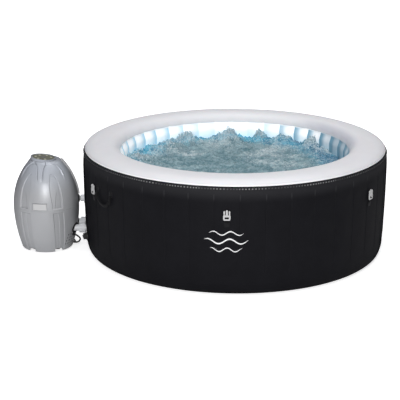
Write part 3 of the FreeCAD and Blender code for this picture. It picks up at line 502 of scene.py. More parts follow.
# Plain finishes by material slot: colour, then what the maker takes
VINYLS = {
    "black_trim": ((0.012, 0.012, 0.014), 0.45, 0.10, 0.1, 0.2, 0.1),
    "liner_part": ((0.72, 0.78, 0.84), 0.4, 0.35, 0.03, 0.05, 0.05),
    "print": ((0.86,) * 3, 0.45, 0.3, 0.03, 0.1, 0.02),
    "web_film": ((0.60, 0.63, 0.66), 0.35, 0.4, 0.04, 0.05, 0.2),
}
MOULDINGS = {
    "buckle_plastic": ((0.56,) * 3, 0.38, 0.45),
    "handle_plastic": ((0.016, 0.016, 0.017), 0.42, 0.4),
    "spine_grey": ((0.46,) * 3, 0.38),
    "fitting_grey": ((0.66, 0.67, 0.69), 0.34),
    "badge_grey": ((0.60,) * 3, 0.34),
    "hose_dark": ((0.10, 0.10, 0.105), 0.34),
    "panel_olive": ((0.115, 0.115, 0.075), 0.42, 0.4, 0.08, 0.10),
    "display_black": ((0.060, 0.062, 0.045), 0.22, 0.5, 0.0, 0.03, 0.25),
    "button_pale": ((0.50, 0.50, 0.40), 0.35),
    "circuit_board": ((0.012, 0.10, 0.035), 0.35, 0.5, 0.08, 0.3),
    "housing_plastic": ((0.045, 0.047, 0.05), 0.5, 0.4),
    "impeller_plastic": ((0.45, 0.45, 0.42), 0.45, 0.4),
}
METALS = {
    "motor_metal": ((0.35, 0.36, 0.38), 0.42),
    "heater_steel": ((0.62, 0.62, 0.64), 0.3),
    "screw_steel": ((0.65, 0.65, 0.66), 0.3, (40.0, 40.0, 1.0)),
}
MAT = {slot: vinyl(slot, *row).material for slot, row in VINYLS.items()}
MAT.update({slot: moulded(slot, *row) for slot, row in MOULDINGS.items()})
MAT.update({slot: metal(slot, *row) for slot, row in METALS.items()})
MAT.update(
    black_pvc=black_wall_material(),
    seam=piping_material(),
    white_pvc=ring_material(),
    liner_pvc=liner_material(),
    case_grey=case_material(),
    water=water_material(),
    droplets=droplet_material(),
    webbing=woven("webbing", (0.0105, 0.0105, 0.0115)),
    filter_paper=woven("filter_paper", (0.78, 0.80, 0.82), 1500.0),
    black_rubber=rubber("black_rubber", (0.012, 0.012, 0.013)),
    cable_black=rubber("cable_rubber", (0.010, 0.010, 0.011)),
)
SOFT_EDGES = {
    "buckle_plastic": 0.0007,
    "handle_plastic": 0.0010,
    "fitting_grey": 0.0012,
    "badge_grey": 0.0006,
    "button_pale": 0.0006,
    "spine_grey": 0.0010,
    "display_black": 0.0004,
}
SPECIAL_FINISH = {"liner_pvc": "liner_part", "air_pipe": "hose_dark"}


def dress_cad_nodes():
    """Gives every CAD node its procedural material, and softens the edges of the moulded ones."""
    slots = {part["node"]: part["material_slot"] for part in frame["record"]["subparts"]}
    for name, obj in NODES.items():
        slot = slots[name]
        obj.data.materials.clear()
        obj.data.materials.append(MAT[SPECIAL_FINISH.get(slot) or SPECIAL_FINISH.get(name) or slot])
        width = SOFT_EDGES.get(slot) or (0.0015 if name == "control_collar" else None)
        if width:
            bevel = obj.modifiers.new("soft_edges", "BEVEL")
            bevel.width = width
            bevel.segments = 2
            bevel.limit_method = "ANGLE"
            bevel.angle_limit = math.radians(35)
            bevel.harden_normals = False


# ---- inflation


def inflated_panel(width, z, radius, cap, outward_sign=1.0, pressure=4.0, stiffness=15.0):
    """Blows up one panel as cloth, held along its welds and ends.

    Returns the columns, -1..1 across the panel, and swell[z, across] in metres.
    """
    columns = 29
    across = np.linspace(-1, 1, columns)
    rows = len(z)
    flat = np.zeros((rows, columns, 3))
    flat[..., 0] = across * width / 2
    flat[..., 1] = -outward_sign * radius[:, None]
    flat[..., 2] = z[:, None]
    panel = grid("panel_sample", flat, wrap_u=False, flip=outward_sign < 0)
    held = panel.vertex_groups.new(name="held")
    index = np.arange(rows * columns).reshape(rows, columns)
    border = np.unique(np.concatenate([index[0], index[-1], index[:, 0], index[:, -1]]))
    held.add(border.tolist(), 1.0, "REPLACE")
    cloth = panel.modifiers.new("cloth", "CLOTH")
    cloth.settings.quality = 6
    cloth.settings.use_pressure = True
    cloth.settings.uniform_pressure_force = pressure
    cloth.settings.effector_weights.gravity = 0.0
    cloth.settings.vertex_group_mass = "held"
    cloth.settings.tension_stiffness = cloth.settings.compression_stiffness = stiffness
    cloth.settings.bending_stiffness = 0.05
    cloth.point_cache.frame_start, cloth.point_cache.frame_end = 1, CLOTH_FRAMES
    scene = bpy.context.scene
    for frame_number in range(1, CLOTH_FRAMES + 1):
        scene.frame_set(frame_number)
    blown = panel.evaluated_get(bpy.context.evaluated_depsgraph_get()).to_mesh()
    moved = np.zeros(rows * columns * 3)
    blown.vertices.foreach_get("co", moved)
    swell = (flat[..., 1] - moved.reshape(rows, columns, 3)[..., 1]) * outward_sign
    bpy.data.objects.remove(panel)
    scene.frame_set(1)
    return across, np.clip(swell, 0.0, cap)


def swell_at(panel, z_rows, across, z):
    """Reads the blown panel's swell at any point, by linear interpolation."""
    columns, swell = panel
    zi = np.clip(np.interp(z, z_rows, np.arange(len(z_rows))), 0, len(z_rows) - 1.001)
    ci = np.clip(np.interp(across, columns, np.arange(len(columns))), 0, len(columns) - 1.001)
    z0, c0 = zi.astype(int), ci.astype(int)
    fz, fc = zi - z0, ci - c0
    low = swell[z0, c0] * (1 - fc) + swell[z0, c0 + 1] * fc
    high = swell[z0 + 1, c0] * (1 - fc) + swell[z0 + 1, c0 + 1] * fc
    return low * (1 - fz) + high * fz


# ---- tub


def web_sheets():
    """The radial webs of the air chamber, trimmed back a little from both skins."""
    mesh = NODES["beam_webs"].data.copy()
    mesh.name = "web_sheets"
    co = np.zeros(len(mesh.vertices) * 3)
    mesh.vertices.foreach_get("co", co)
    co = co.reshape(-1, 3)
    r = np.hypot(co[:, 0], co[:, 1])
    outer_trim, inner_trim = 0.0045 * smooth(0.80, 0.86, r), 0.0035 * (1 - smooth(0.69, 0.72, r))
    trimmed = r - outer_trim + inner_trim
    co[:, :2] *= (trimmed / r)[:, None]
    mesh.vertices.foreach_set("co", co.reshape(-1))
    mesh.materials.clear()
    new_object("web_sheets", mesh, "web_film", "tub", "beam_webs")


def outer_wall():
    """Black wall: 40 shallow panels between web welds, gathered into puckers under the top weld."""
    low = spline([(0.832, 0.0012), (0.853, 0.0045), (0.872, 0.019), (0.8815, 0.040), (0.8872, 0.066)], 22)
    z = np.concatenate([np.linspace(0.069, WIDEST_Z, 84), np.linspace(0.564, 0.6245, 34)])
    outline = np.vstack([low, np.stack([wall_radius(z), z], -1)])
    panel_z = np.linspace(CREASE_LOW - 0.012, CREASE_HIGH, 90)
    panel_width = TURN * WIDEST_RADIUS / PANELS
    panel = inflated_panel(panel_width, panel_z, wall_radius(panel_z), WALL_SWELL)

    def shape(az, r, z):
        near, across = crease_distance(az)
        tall = plateau(z, CREASE_LOW - 0.012, CREASE_LOW + 0.03, CREASE_HIGH - 0.02, CREASE_HIGH)
        pillow = swell_at(panel, panel_z, across, z) * tall
        groove = -0.0016 * bell(near, 0.16) * tall
        lip = 0.0004 * bell(near - 0.34, 0.16) * tall
        d = outward(az)
        slow, pull = d.copy(), d.copy()
        slow[..., 2] = z * 0.7
        wander = 0.0022 * (fractal(slow, 5.0, 3, 3) - 0.5)
        pull[..., 2] = z * 0.10
        strength = 0.25 + 0.75 * smooth(0.42, 0.62, noise(d, 3.0, 8))
        gather = plateau(z, 0.580, 0.612, 0.6155, 0.6185) * strength
        pucker = 0.0042 * (fractal(pull, 62.0, 2, 21, ridged=True) - 0.45) * gather
        fold = 0.0024 * (fractal(pull, 19.0, 2, 31) - 0.5) * plateau(z, 0.52, 0.60, 0.612, 0.620)
        weld = -0.0032 * bell(z - SEAM_Z, 0.0040)
        return r + pillow + groove + lip + wander + pucker + fold + weld - WALL_INSET, z

    # Painted sheen mask: pale lines along the creases, strongest near the top, and a pale band under the
    # ring.
    def crease(az, r, z):
        near, _ = crease_distance(az)
        tall = plateau(z, CREASE_LOW, CREASE_LOW + 0.02, CREASE_HIGH - 0.01, CREASE_HIGH)
        top = smooth(0.535, 0.562, z) * (1 - 0.5 * smooth(0.585, 0.600, z))
        line = bell(near, 0.12 + 0.12 * top) * tall * (0.035 + 0.60 * top)
        return np.maximum(line, 0.36 * smooth(0.530, 0.600, z))

    revolve("outer_wall_skin", outline, 2400, "black_pvc", "outer_wall", shape, crease=crease)


def outer_seam():
    """Rolled piping over the weld under the ring, gathered, with painted highlights on its crests."""
    turn = np.linspace(-0.62 * math.pi, 0.62 * math.pi, 15)
    band_z = 0.6125 + 0.0052 * np.sin(turn) / math.sin(0.5 * math.pi)
    band_lift = 0.0034 * np.cos(turn)
    band = np.stack([wall_radius(band_z) + band_lift, band_z], -1)

    def ripple(az, r, z):
        d = outward(az)
        knots = fractal(d, 46.0, 2, 44, ridged=True) - 0.5
        return r + 0.0030 * knots, z + 0.0022 * (fractal(d, 30.0, 2, 47) - 0.5)

    # Painted highlight mask on the gather crests, strongest at the front, towards the lights.
    def rub(az, r, z):
        d = outward(az)
        gathers = 0.5 + 0.5 * np.cos(np.radians(az) * 330 + 7.0 * noise(d, 12.0, 61))
        glints = smooth(0.50, 0.95, gathers) * (0.25 + 0.75 * smooth(0.36, 0.62, noise(d, 12.0, 67)))
        glints = glints * (0.12 + 0.88 * smooth(0.45, 0.95, -d[..., 1]))
        return glints * smooth(0.6165, 0.6130, z) * smooth(0.6075, 0.6100, z)

    revolve("outer_seam_piping", band, 2000, "seam", "outer_seam_band", ripple, "black_pvc", rub=rub)


def top_ring():
    """Crowned white ring, plump between its two weld seams."""
    outer_half = [(0.8885, 0.6238), (0.8872, 0.6285), (0.8800, 0.6385), (0.8640, 0.6480), (0.8400, 0.6555)]
    crown = [(0.8060, 0.6595), (0.7720, 0.6600), (0.7400, 0.6575)]
    inner_half = [(0.7120, 0.6480), (0.6945, 0.6330), (0.6845, 0.6150), (0.6815, 0.6030)]
    profile = spline(outer_half + crown + inner_half, 96)
    along = np.linspace(0, 1, len(profile))[:, None]

    def shape(az, r, z):
        _, across = crease_distance(az)
        d = outward(az)
        inner = smooth(0.78, 1.0, along)
        outer = 1 - smooth(0.0, 0.10, along)
        scallop = 0.0035 * (1 - across**2) * inner
        gather = 0.0022 * (fractal(d, 40.0, 2, 51) - 0.5) * (outer + 0.6 * inner)
        q = d.copy()
        q[..., 2] = along * 0.6
        slow = 0.0035 * (fractal(q, 4.5, 3, 61) - 0.5)
        body = np.sin(np.pi * along) ** 0.7
        return r - scallop + gather * 0.5, z + slow * body + gather * (1 - inner) * 0.4 - 0.0012 * body

    # Painted highlight mask along the outer weld.
    def edge(az, r, z):
        return (1 - smooth(0.012, 0.05, along)) + 0 * az

    # Painted shade mask on the inner slope at the back right.
    def hollow(az, r, z):
        shaded_slope = smooth(0.80, 0.99, outward(az) @ np.array([0.94, 0.34, 0.0]))
        return 0.55 * shaded_slope * smooth(0.62, 0.86, along) * (1 - 0.5 * smooth(0.92, 1.0, along))

    revolve("top_ring_skin", profile, 1440, "white_pvc", "top_ring", shape, edge=edge, hollow=hollow)


def inner_wall():
    """Pleated liner: one leaning scallop per panel, bellied inward just under the ring."""
    z = np.linspace(0.604, 0.0035, 90)
    r = LINER_RADIUS - 0.006 * (z / 0.602) ** 2
    outline = np.stack([r, z], -1)
    panel_z = z[::-1]
    panel_width = TURN * LINER_RADIUS / PANELS
    panel = inflated_panel(panel_width, panel_z, r[::-1], LINER_SWELL, -1.0, pressure=40.0, stiffness=4.0)

    def both_hands(az, pleat):
        """The pleats lean away from the front, so each half of the tub mirrors the other."""
        _, across = crease_distance(az)
        right = 0.5 + 0.5 * np.clip(outward(az)[..., 0] / 0.12, -1, 1)
        return (1 - right) * pleat(across) + right * pleat(-across)

    def shape(az, r, z):
        def swell(across):
            return swell_at(panel, panel_z, 2 * ((1 + across) / 2) ** 2.2 - 1, z)

        belly = LINER_BELLY * smooth(0.602, 0.552, z) * smooth(0.40, 0.48, z)
        d = outward(az)
        d[..., 2] = z * 0.8
        return r - belly - both_hands(az, swell) + 0.0025 * (fractal(d, 9.0, 3, 71) - 0.5), z

    def depth(az, r, z):
        return (1 - smooth(0.505, 0.575, z)) * 0.85 + 0 * az

    # Painted shade mask on one side of each pleat, stronger towards the sides of the tub.
    def fold(az, r, z):
        side = 0.25 + 0.75 * smooth(0.05, 0.75, np.abs(outward(az)[..., 0]))
        return both_hands(az, lambda u: smooth(0.5, -1.05, u) ** 1.6) * side * smooth(0.603, 0.596, z)

    # Painted shade mask for the right side and its pleat folds.
    def dusk(az, r, z):
        x = outward(az)[..., 0]
        return np.clip(0.75 * smooth(0.72, 0.98, x) + 0.9 * smooth(0.2, 0.6, x) * fold(az, r, z), 0, 1)

    # Painted light: emission strength, higher at the back and lower on the right.
    def glow(az, r, z):
        d = outward(az)
        return 0.22 + 0.16 * smooth(0.25, 0.95, d[..., 1]) - 0.14 * smooth(0.60, 0.95, d[..., 0])

    look = ("liner_pvc", "inner_wall", shape)
    revolve("inner_wall_skin", outline, 1600, *look, depth=depth, fold=fold, dusk=dusk, glow=glow)


def floor():
    """Quilted floor sheet with a slightly rolled rim."""
    r = np.concatenate([np.linspace(0.002, 0.80, 60), np.linspace(0.805, 0.833, 12)])
    outline = np.stack([r, np.full_like(r, 0.0014)], -1)

    def shape(az, r, z):
        d = outward(az) * r[..., None]
        rise = 0.0012 * fractal(d, 8.0, 2, 81)
        quilt = 0.0010 * np.abs(np.sin(np.pi * r / 0.085)) * (r < 0.68)
        return r, z + rise + quilt

    revolve("floor_sheet_top", outline, 240, "liner_part", "floor_sheet", shape, "liner_pvc", flip=True)
    below = [(0.002, 0.0), (0.4, 0.0), (0.8, 0.0), (0.829, 0.0), (0.833, 0.0008)]
    revolve("floor_sheet_under", below, 240, "black_trim", slot="black_pvc")


def wave_print():
    """Three printed wave strokes on the front panel."""
    centre, half_width, proud = -4.2, 7.7, 0.0032
    strokes = ((0.366, 0.0105, 0.0065, 0.78), (0.320, 0.0135, 0.0085, 1.0), (0.272, 0.0105, 0.0065, 0.72))
    for k, (z0, swell, thick, span) in enumerate(strokes):
        t = np.linspace(-1, 1, 200)
        az = centre + t * half_width * span
        mid = z0 + swell * np.sin(t * math.pi * 2.0 + 0.6 * k)
        taper = thick * np.clip(1 - t**4, 0.04, 1) ** 0.7
        rows = [on_wall(az, mid + edge * taper, proud) for edge in (-0.5, -0.25, 0, 0.25, 0.5)]
        grid("printed_wave_%d" % (k + 1), np.array(rows), "print", "tub", slot="white_pvc", wrap_u=False)


# ---- water


# Where the bubble channel blows hardest, where the water stays clear, and where foam drifts.
# Each row is x, y, strength, radius.
JETS = (
    ((-0.02, 0.630, 1.0, 0.040), (0.18, 0.615, 1.0, 0.036), (-0.31, 0.555, 0.8, 0.075))
    + ((0.49, 0.440, 0.8, 0.055), (0.30, -0.55, 0.6, 0.040), (-0.20, -0.60, 0.7, 0.040))
    + ((0.61, -0.18, 0.6, 0.045), (-0.60, -0.16, 0.6, 0.045))
)
CLEAR = (
    ((-0.56, 0.300, 1.0, 0.085), (-0.48, 0.430, 0.9, 0.070), (-0.19, 0.590, 1.0, 0.060))
    + ((-0.12, 0.620, 0.7, 0.045), (0.08, 0.620, 1.0, 0.070), (0.25, 0.580, 0.8, 0.045))
    + ((0.39, 0.450, 0.9, 0.075), (0.61, 0.190, 0.9, 0.075), (0.42, -0.480, 0.9, 0.085))
    + ((-0.40, -0.500, 0.9, 0.085), (-0.62, 0.020, 0.7, 0.060))
)
CLOUDS = (
    ((-0.08, 0.46, 1.0, 0.11), (0.30, 0.38, 1.0, 0.10))
    + ((0.38, 0.00, 0.8, 0.08), (-0.24, -0.22, 0.8, 0.11))
)


def spots(points, places):
    """Round, flat-topped patches."""
    return sum(
        size * np.exp(-((((points[..., 0] - x) ** 2 + (points[..., 1] - y) ** 2) / radius**2) ** 1.7))
        for x, y, size, radius in places
    )


def water():
    """Churned surface: heaps of foam where the air ring blows up along the wall, streaks in the middle."""
    rings, columns = 210, 1200
    t = np.linspace(0.0, 1.0, rings) ** 0.72
    r = WATER_RADIUS * t + 0.0005
    az = around(columns)
    rr, aa = np.meshgrid(r, az, indexing="ij")
    flat = outward(aa) * rr[..., None]
    still = np.zeros_like(rr)
    warp = np.stack([fractal(flat, 6.0, 2, 3), fractal(flat, 6.0, 2, 9), still], -1) * 0.09
    away = np.clip(flat[..., 1] / WATER_RADIUS, -1, 1)
    across = np.clip(flat[..., 0] / WATER_RADIUS, -1, 1)
    rim = smooth(0.42, 0.60, rr)
    heaps = fractal(flat + warp, 7.5, 3, 17)
    clumps = fractal(flat + warp, 21.0, 4, 23, gain=0.6)
    froth = fractal(flat + warp * 1.6, 75.0, 3, 29, ridged=True)
    swirl = np.stack([fractal(flat, 11.0, 3, 41), fractal(flat, 11.0, 3, 47), still], -1) * 0.10
    drawn = (flat + warp + swirl) * np.array([0.8, 1.2, 1.0])
    streak = fractal(drawn, 9.0, 5, 37, gain=0.62, ridged=True)
    mound = smooth(0.40, 0.66, heaps)
    spray = fractal(flat + warp, 36.0, 3, 53, gain=0.60)
    jets = spots(flat, JETS)
    clear = np.clip(spots(flat, CLEAR), 0, 1)
    clouds = spots(flat, CLOUDS)
    height = 0.018 * (streak - 0.5) + 0.034 * (clumps - 0.5) + 0.010 * (froth - 0.5) + 0.010 * (spray - 0.5)
    lift = 0.004 + 0.006 * smooth(-0.2, 0.8, away) + 0.022 * mound * (0.30 + clumps)
    height = height + rim * (lift + 0.020 * (froth - 0.5) + 0.026 * (spray - 0.5))
    height = height * (1 - 0.7 * smooth(0.72, 0.92, across)) - 0.006 * smooth(0.72, 0.92, across)
    height = height * (1 - 0.35 * clear) - 0.006 * clear
    height = height + jets * (0.016 + 0.095 * np.clip(spray - 0.32, 0, 1))
    height = height - 0.012 * smooth(0.660, WATER_RADIUS, rr)
    points = flat.copy()
    points[..., 2] = WATER_LEVEL + np.minimum(height, 0.086)
    crest = smooth(0.42, 0.60, clumps)
    cloud = smooth(0.46, 0.60, fractal(flat + 2 * warp + swirl, 4.2, 4, 57, gain=0.6))
    foam = smooth(0.44, 0.70, streak) * (0.30 + 0.70 * cloud) * (0.45 + 0.55 * crest) * (1 - 0.5 * rim)
    broken = smooth(0.38, 0.56, heaps + 0.3 * (froth - 0.5))
    foam = foam + rim * (0.10 + 0.70 * smooth(0.46, 0.62, spray)) * broken
    foam = (foam + 0.9 * jets + 0.30 * clouds * (0.5 + crest)) * (1 - 0.85 * clear)
    patch = fractal(flat, 5.0, 3, 91)
    cyan = 0.75 * smooth(0.44, 0.57, rr) * smooth(0.40, 0.53, patch) * smooth(-0.40, 0.05, away)
    cyan = np.maximum(clear, cyan) * (1 - 0.6 * np.clip(jets, 0, 1))
    trough = smooth(0.50, 0.34, clumps)
    deep = np.clip(0.6 * trough + rim * smooth(0.2, 0.9, across) * smooth(0.36, 0.52, patch), 0, 1)
    foam, cyan = np.clip(foam, 0, 1), np.clip(cyan, 0, 1)
    bubbly = (0.25 + 0.75 * rim) * (1 - 0.7 * clear)
    look = ("water_surface", points, "water", "tub")
    grid(*look, slot="pool_water", foam=foam, cyan=cyan, deep=deep, bubbly=bubbly)
    droplets(points, rim, height)


def droplets(points, rim, height):
    """Thrown drops and bubbles over the highest heaps, as one mesh."""
    rng = np.random.default_rng(5)
    weight = (rim * np.clip(height - 0.018, 0, None)).reshape(-1)
    chosen = rng.choice(weight.size, DROPS, p=weight / weight.sum())
    centres = points.reshape(-1, 3)[chosen]
    base = bmesh.new()
    bmesh.ops.create_icosphere(base, subdivisions=1, radius=1.0)
    shape = np.array([v.co for v in base.verts])
    faces = np.array([[v.index for v in f.verts] for f in base.faces])
    base.free()
    size = 0.0012 + 0.0026 * rng.random(len(centres)) ** 2
    lift = 0.002 + 0.020 * rng.random(len(centres)) ** 2
    stretch = 1 + 0.8 * rng.random(len(centres))
    verts, polys = [], []
    for k, c in enumerate(centres):
        blob = shape * size[k] * np.array([1, 1, stretch[k]]) + c + up(lift[k])
        verts.append(blob)
        polys.append(faces + k * len(shape))
    mesh = bpy.data.meshes.new("water_drops")
    mesh.from_pydata(np.vstack(verts).tolist(), [], np.vstack(polys).tolist())
    mesh.polygons.foreach_set("use_smooth", np.ones(len(mesh.polygons), bool))
    new_object("water_drops", mesh, "droplets", "tub", slot="pool_water")


# ---- pump casing


def egg_radius(z):
    """Radius of the plain egg: two arcs that meet at the belt."""
    arc = np.where(z > BELT_Z, UPPER_ARC, LOWER_ARC)
    return PUMP_RADIUS - arc + np.sqrt(np.clip(arc**2 - (z - BELT_Z) ** 2, 0, None))


def signed(angle):
    """The same angle between -180 and 180 degrees."""
    return (angle + 180.0) % 360.0 - 180.0


def leaf_edges(z, right):
    """Inner and outer edge of a leaf recess, in degrees from the middle of its face, at height z."""
    inner_heights = [0.20, 0.30, 0.38, 0.43, 0.480]
    inner_left = np.interp(z, inner_heights, [21.5, 21.5, 20.0, 20.8, 27.5])
    inner_right = np.interp(z, inner_heights, [22.8, 22.0, 18.8, 18.6, 23.0])
    heights = [0.20, 0.285, 0.345, 0.400, 0.435, 0.455, 0.470, 0.480]
    outer_left = np.interp(z, heights, [40.0, 40.3, 41.2, 40.8, 38.5, 36.0, 32.5, 28.0])
    outer_right = np.interp(z, heights, [41.0, 41.3, 41.6, 41.0, 39.5, 37.5, 33.0, 24.0])
    return np.where(right, inner_right, inner_left), np.where(right, outer_right, outer_left)


def channel_edges(z, right):
    """Inner and outer edge of a channel in the lower half, likewise."""
    inner = np.where(right, np.interp(z, [0.0, 0.25], [28.6, 22.6]), np.interp(z, [0.0, 0.25], [17.0, 17.4]))
    outer_right = np.interp(z, [0.0, 0.12, 0.25], [51.5, 46.5, 42.6])
    outer_left = np.interp(z, [0.0, 0.12, 0.25], [38.0, 38.4, 38.8])
    return inner, np.where(right, outer_right, outer_left)


def face_relief(az, z):
    """Depth cut into the casing for its leaf recesses, lower channels, hood and rib, and the mask of painted
    shade for them; both faces alike.
    """
    out = np.zeros_like(az)
    recess = np.zeros_like(az)
    for middle in FACES:
        rel = signed(az - middle)
        side = np.abs(rel)
        here = (side < 88).astype(float)
        soft = 0.9
        right = rel > 0
        inner, outer = leaf_edges(z, right)
        across = plateau(side, inner, inner + soft, outer - 1.6 * soft, outer)
        leaf = across * plateau(z, 0.279, 0.283, 0.472, 0.480)
        floor_slope = 0.80 + 0.20 * smooth(outer, inner, side)
        fold = np.interp(z, [0.28, 0.35, 0.40], [25.0, 28.0, 32.5]) + 2.0 * right
        crease = smooth(fold - 0.5, fold + 0.5, side) * (1 - smooth(0.32, 0.40, z)) * 0.0034
        out += here * leaf * (0.0062 * floor_slope + crease)
        low_in, low_out = channel_edges(z, right)
        channel = plateau(side, low_in, low_in + soft, low_out - soft, low_out)
        channel = channel * (1 - smooth(0.252, 0.257, z))
        mid = 0.5 * (low_in + low_out)
        step = smooth(mid - 0.5, mid + 0.5, side) * 0.0030
        out += here * channel * (0.0072 - step)
        hood_z = [0.43, 0.46, 0.49, 0.505, 0.521, 0.532, 0.541, 0.547]
        hood_edge = np.interp(z, hood_z, [57, 57.5, 57, 55, 50, 43, 33, 26])
        hood = (1 - smooth(hood_edge - 2.2, hood_edge + 0.4, side)) * smooth(0.425, 0.480, z)
        lip = bell(side - hood_edge - 1.4, 1.7) * smooth(0.440, 0.475, z)
        out += here * (0.0042 * hood - 0.0026 * lip)
        shift = np.interp(z, [0.44, 0.49, 0.52, 0.54], [1.0, 2.0, 2.5, 3.0])
        rib_z = [0.436, 0.450, 0.49, 0.510, 0.525, 0.535, 0.545]
        rib_half = np.interp(z, rib_z, [2.0, 4.5, 6.5, 8.5, 13.0, 18.0, 26.0])
        from_rib = np.abs(rel + shift)
        rib = 1 - smooth(rib_half - 0.8, rib_half + 1.0, from_rib)
        gutter = bell(from_rib - rib_half - 1.6, 1.2)
        raised = here * smooth(0.436, 0.462, z)
        out += raised * (0.0034 * gutter - 0.0052 * rib)
        # painted shade in the gutters beside the rib, darker on the left
        recess = np.maximum(recess, raised * gutter * (2.6 + 0.8 * (rel + shift < 0)))
        # painted shade over the hood, away from the rib
        recess = np.maximum(recess, here * 0.5 * hood * (1 - rib))
        if middle == FRONT:
            plate = plateau(rel, -13.4, -13.0, 12.2, 12.6) * plateau(z, 0.2755, 0.2765, 0.3175, 0.3185)
            out += here * 0.0036 * plate
            # painted shadow outline round the badge plate
            recess = np.maximum(recess, here * 4.5 * plate)
        # painted shadow along the left leaf's fold, and painted shade over the leaf and channel floors
        line = bell(side - fold - 0.8, 0.8) * leaf * (1 - smooth(0.33, 0.39, z)) * (rel < 0)
        recess = np.maximum(recess, here * np.maximum(0.15 * leaf * floor_slope + 2.6 * line, 0.8 * channel))
    return out, recess


def casing_points(az, z):
    """Surface of the casing below the neck."""
    cut, recess = face_relief(az, z)
    r = egg_radius(z) - cut
    p = outward(az) * r[..., None] + np.array([*PUMP_AXIS, 0.0])
    p[..., 2] = z
    return p, recess


def egg_ring(az, z):
    """Plain egg surface at one height."""
    return outward(az) * egg_radius(z) + np.array([*PUMP_AXIS, z])


def collar_point(az, radius, drop):
    """Point on the tilted collar's side: radius from its axis, drop below the panel plane."""
    local = outward(az) * radius
    c, s = math.cos(PANEL_TILT), math.sin(PANEL_TILT)
    x = local[..., 0] * c - drop * s
    z = -local[..., 0] * s - drop * c
    return np.stack([x + PANEL_CENTRE[0], local[..., 1] + PANEL_CENTRE[1], z + PANEL_CENTRE[2]], -1)


def pump_upper_casing():
    """Shoulders of the casing, running up in a hollow curve to the collar."""
    az = around(PUMP_COLUMNS)
    z_rows = np.concatenate([np.linspace(0.2684, 0.2700, 4), np.linspace(0.2720, NECK_Z, 170)])
    aa, zz = np.meshgrid(az, z_rows, indexing="xy")
    body, recess = casing_points(aa, zz)
    out = outward(az)
    start = egg_ring(az, NECK_Z)
    tangent = unit(start - egg_ring(az, NECK_Z - 0.003))
    rim = collar_point(az, COLLAR_RADIUS, 0.0)
    drop = np.maximum(rim[:, 2] - DECK_Z, 0.002) / math.cos(PANEL_TILT)
    top = collar_point(az, COLLAR_RADIUS, drop)
    span = np.linalg.norm(top - start, axis=-1, keepdims=True)
    steps = 30
    relief_z = np.linspace(NECK_Z, 0.546, steps + 1)[1:]
    neck = []
    for k, t in enumerate(np.linspace(0, 1, steps + 1)[1:]):
        h00, h10 = 2 * t**3 - 3 * t**2 + 1, t**3 - 2 * t**2 + t
        h01, h11 = -2 * t**3 + 3 * t**2, t**3 - t**2
        q = h00 * start + h10 * tangent * span + h01 * top - h11 * out * span * 0.9
        cut, _ = face_relief(az, np.full_like(az, relief_z[k]))
        normal = out * (1 - t) * 0.8 + up(0.6 + 0.4 * t)
        neck.append(q - normal * (cut * (1 - smooth(0.70, 1.0, t)))[:, None])
    points = np.concatenate([body, np.array(neck)], 0)
    recess = np.concatenate([recess, np.zeros((steps, PUMP_COLUMNS))], 0)
    inward = body[0] - out * 0.0035 - up(0.0002)
    lip = body[0] - out * 0.0007 - up(0.0002)
    points = np.concatenate([inward[None], lip[None], points], 0)
    recess = np.concatenate([recess[:1], recess[:1], recess], 0)
    grid("pump_upper_casing", points, "case_grey", "pump_unit", "pump_upper_shell", recess=recess)


def pump_lower_casing():
    """Lower half, with channels that end in arches between its feet."""
    az = around(PUMP_COLUMNS)
    foot_rows, belt_rows = np.linspace(0.0030, 0.012, 6), np.linspace(0.2655, 0.2676, 4)
    z_rows = np.concatenate([foot_rows, np.linspace(0.015, 0.264, 130), belt_rows])
    aa, zz = np.meshgrid(az, z_rows, indexing="xy")
    foot = np.zeros_like(aa)
    for middle in FACES:
        rel = signed(aa - middle)
        right_arch = plateau(rel, 28.4, 29.6, 48.0, 50.0)
        left_arch = plateau(-rel, 16.8, 18.0, 35.5, 37.5)
        foot = np.maximum(foot, np.where(rel > 0, right_arch, left_arch))
    zz = zz + foot * 0.0165 * np.clip(1 - (zz - 0.003) / 0.06, 0, 1)
    points, recess = casing_points(aa, zz)
    tuck = np.clip(1 - (z_rows - 0.003) / 0.006, 0, 1)[:, None] ** 2 * 0.003
    points = points - outward(aa) * tuck[..., None]
    under = points[0] - outward(az) * 0.006
    inside = under + up(0.02)
    top_rim = points[-1] - outward(az) * 0.0007 + up(0.0002)
    top_in = points[-1] - outward(az) * 0.0035 + up(0.0004)
    points = np.concatenate([inside[None], under[None], points, top_rim[None], top_in[None]], 0)
    recess = np.concatenate([recess[:1], recess[:1], recess, recess[-1:], recess[-1:]], 0)
    grid("pump_lower_casing", points, "case_grey", "pump_unit", "pump_lower_shell", recess=recess)


def grommets():
    """Thick rubber rings seated on the casing where the pipes leave it."""
    water_ring, air_ring = (0.130, 0.0265, 0.0055), (0.298, 0.0185, 0.0040)
    rings = (("front", -0.060, water_ring), ("rear", 0.060, water_ring), ("air", 0.0, air_ring))
    for name, y, (z, reach, thick) in rings:
        turn = np.linspace(0, TURN, 72, endpoint=False)
        cy, cz = y + reach * np.cos(turn), z + reach * np.sin(turn)
        x = PUMP_AXIS[0] + np.sqrt(egg_radius(cz) ** 2 - cy**2)
        centre = np.stack([x, cy, cz], -1)
        normal = unit(np.stack([x - PUMP_AXIS[0], cy, (cz - BELT_Z) * 0.4], -1))
        side = np.cross(normal, unit(np.roll(centre, -1, 0) - np.roll(centre, 1, 0)))
        ring = []
        for a in np.linspace(0, TURN, 14, endpoint=False):
            ring.append(centre + normal * (0.0015 + thick * math.cos(a)) + side * thick * 1.15 * math.sin(a))
        node = "pipe_grommets" if name == "front" else None
        grid("pipe_grommet_" + name, np.array(ring), "black_rubber", "pump_unit", node, wrap_v=True)


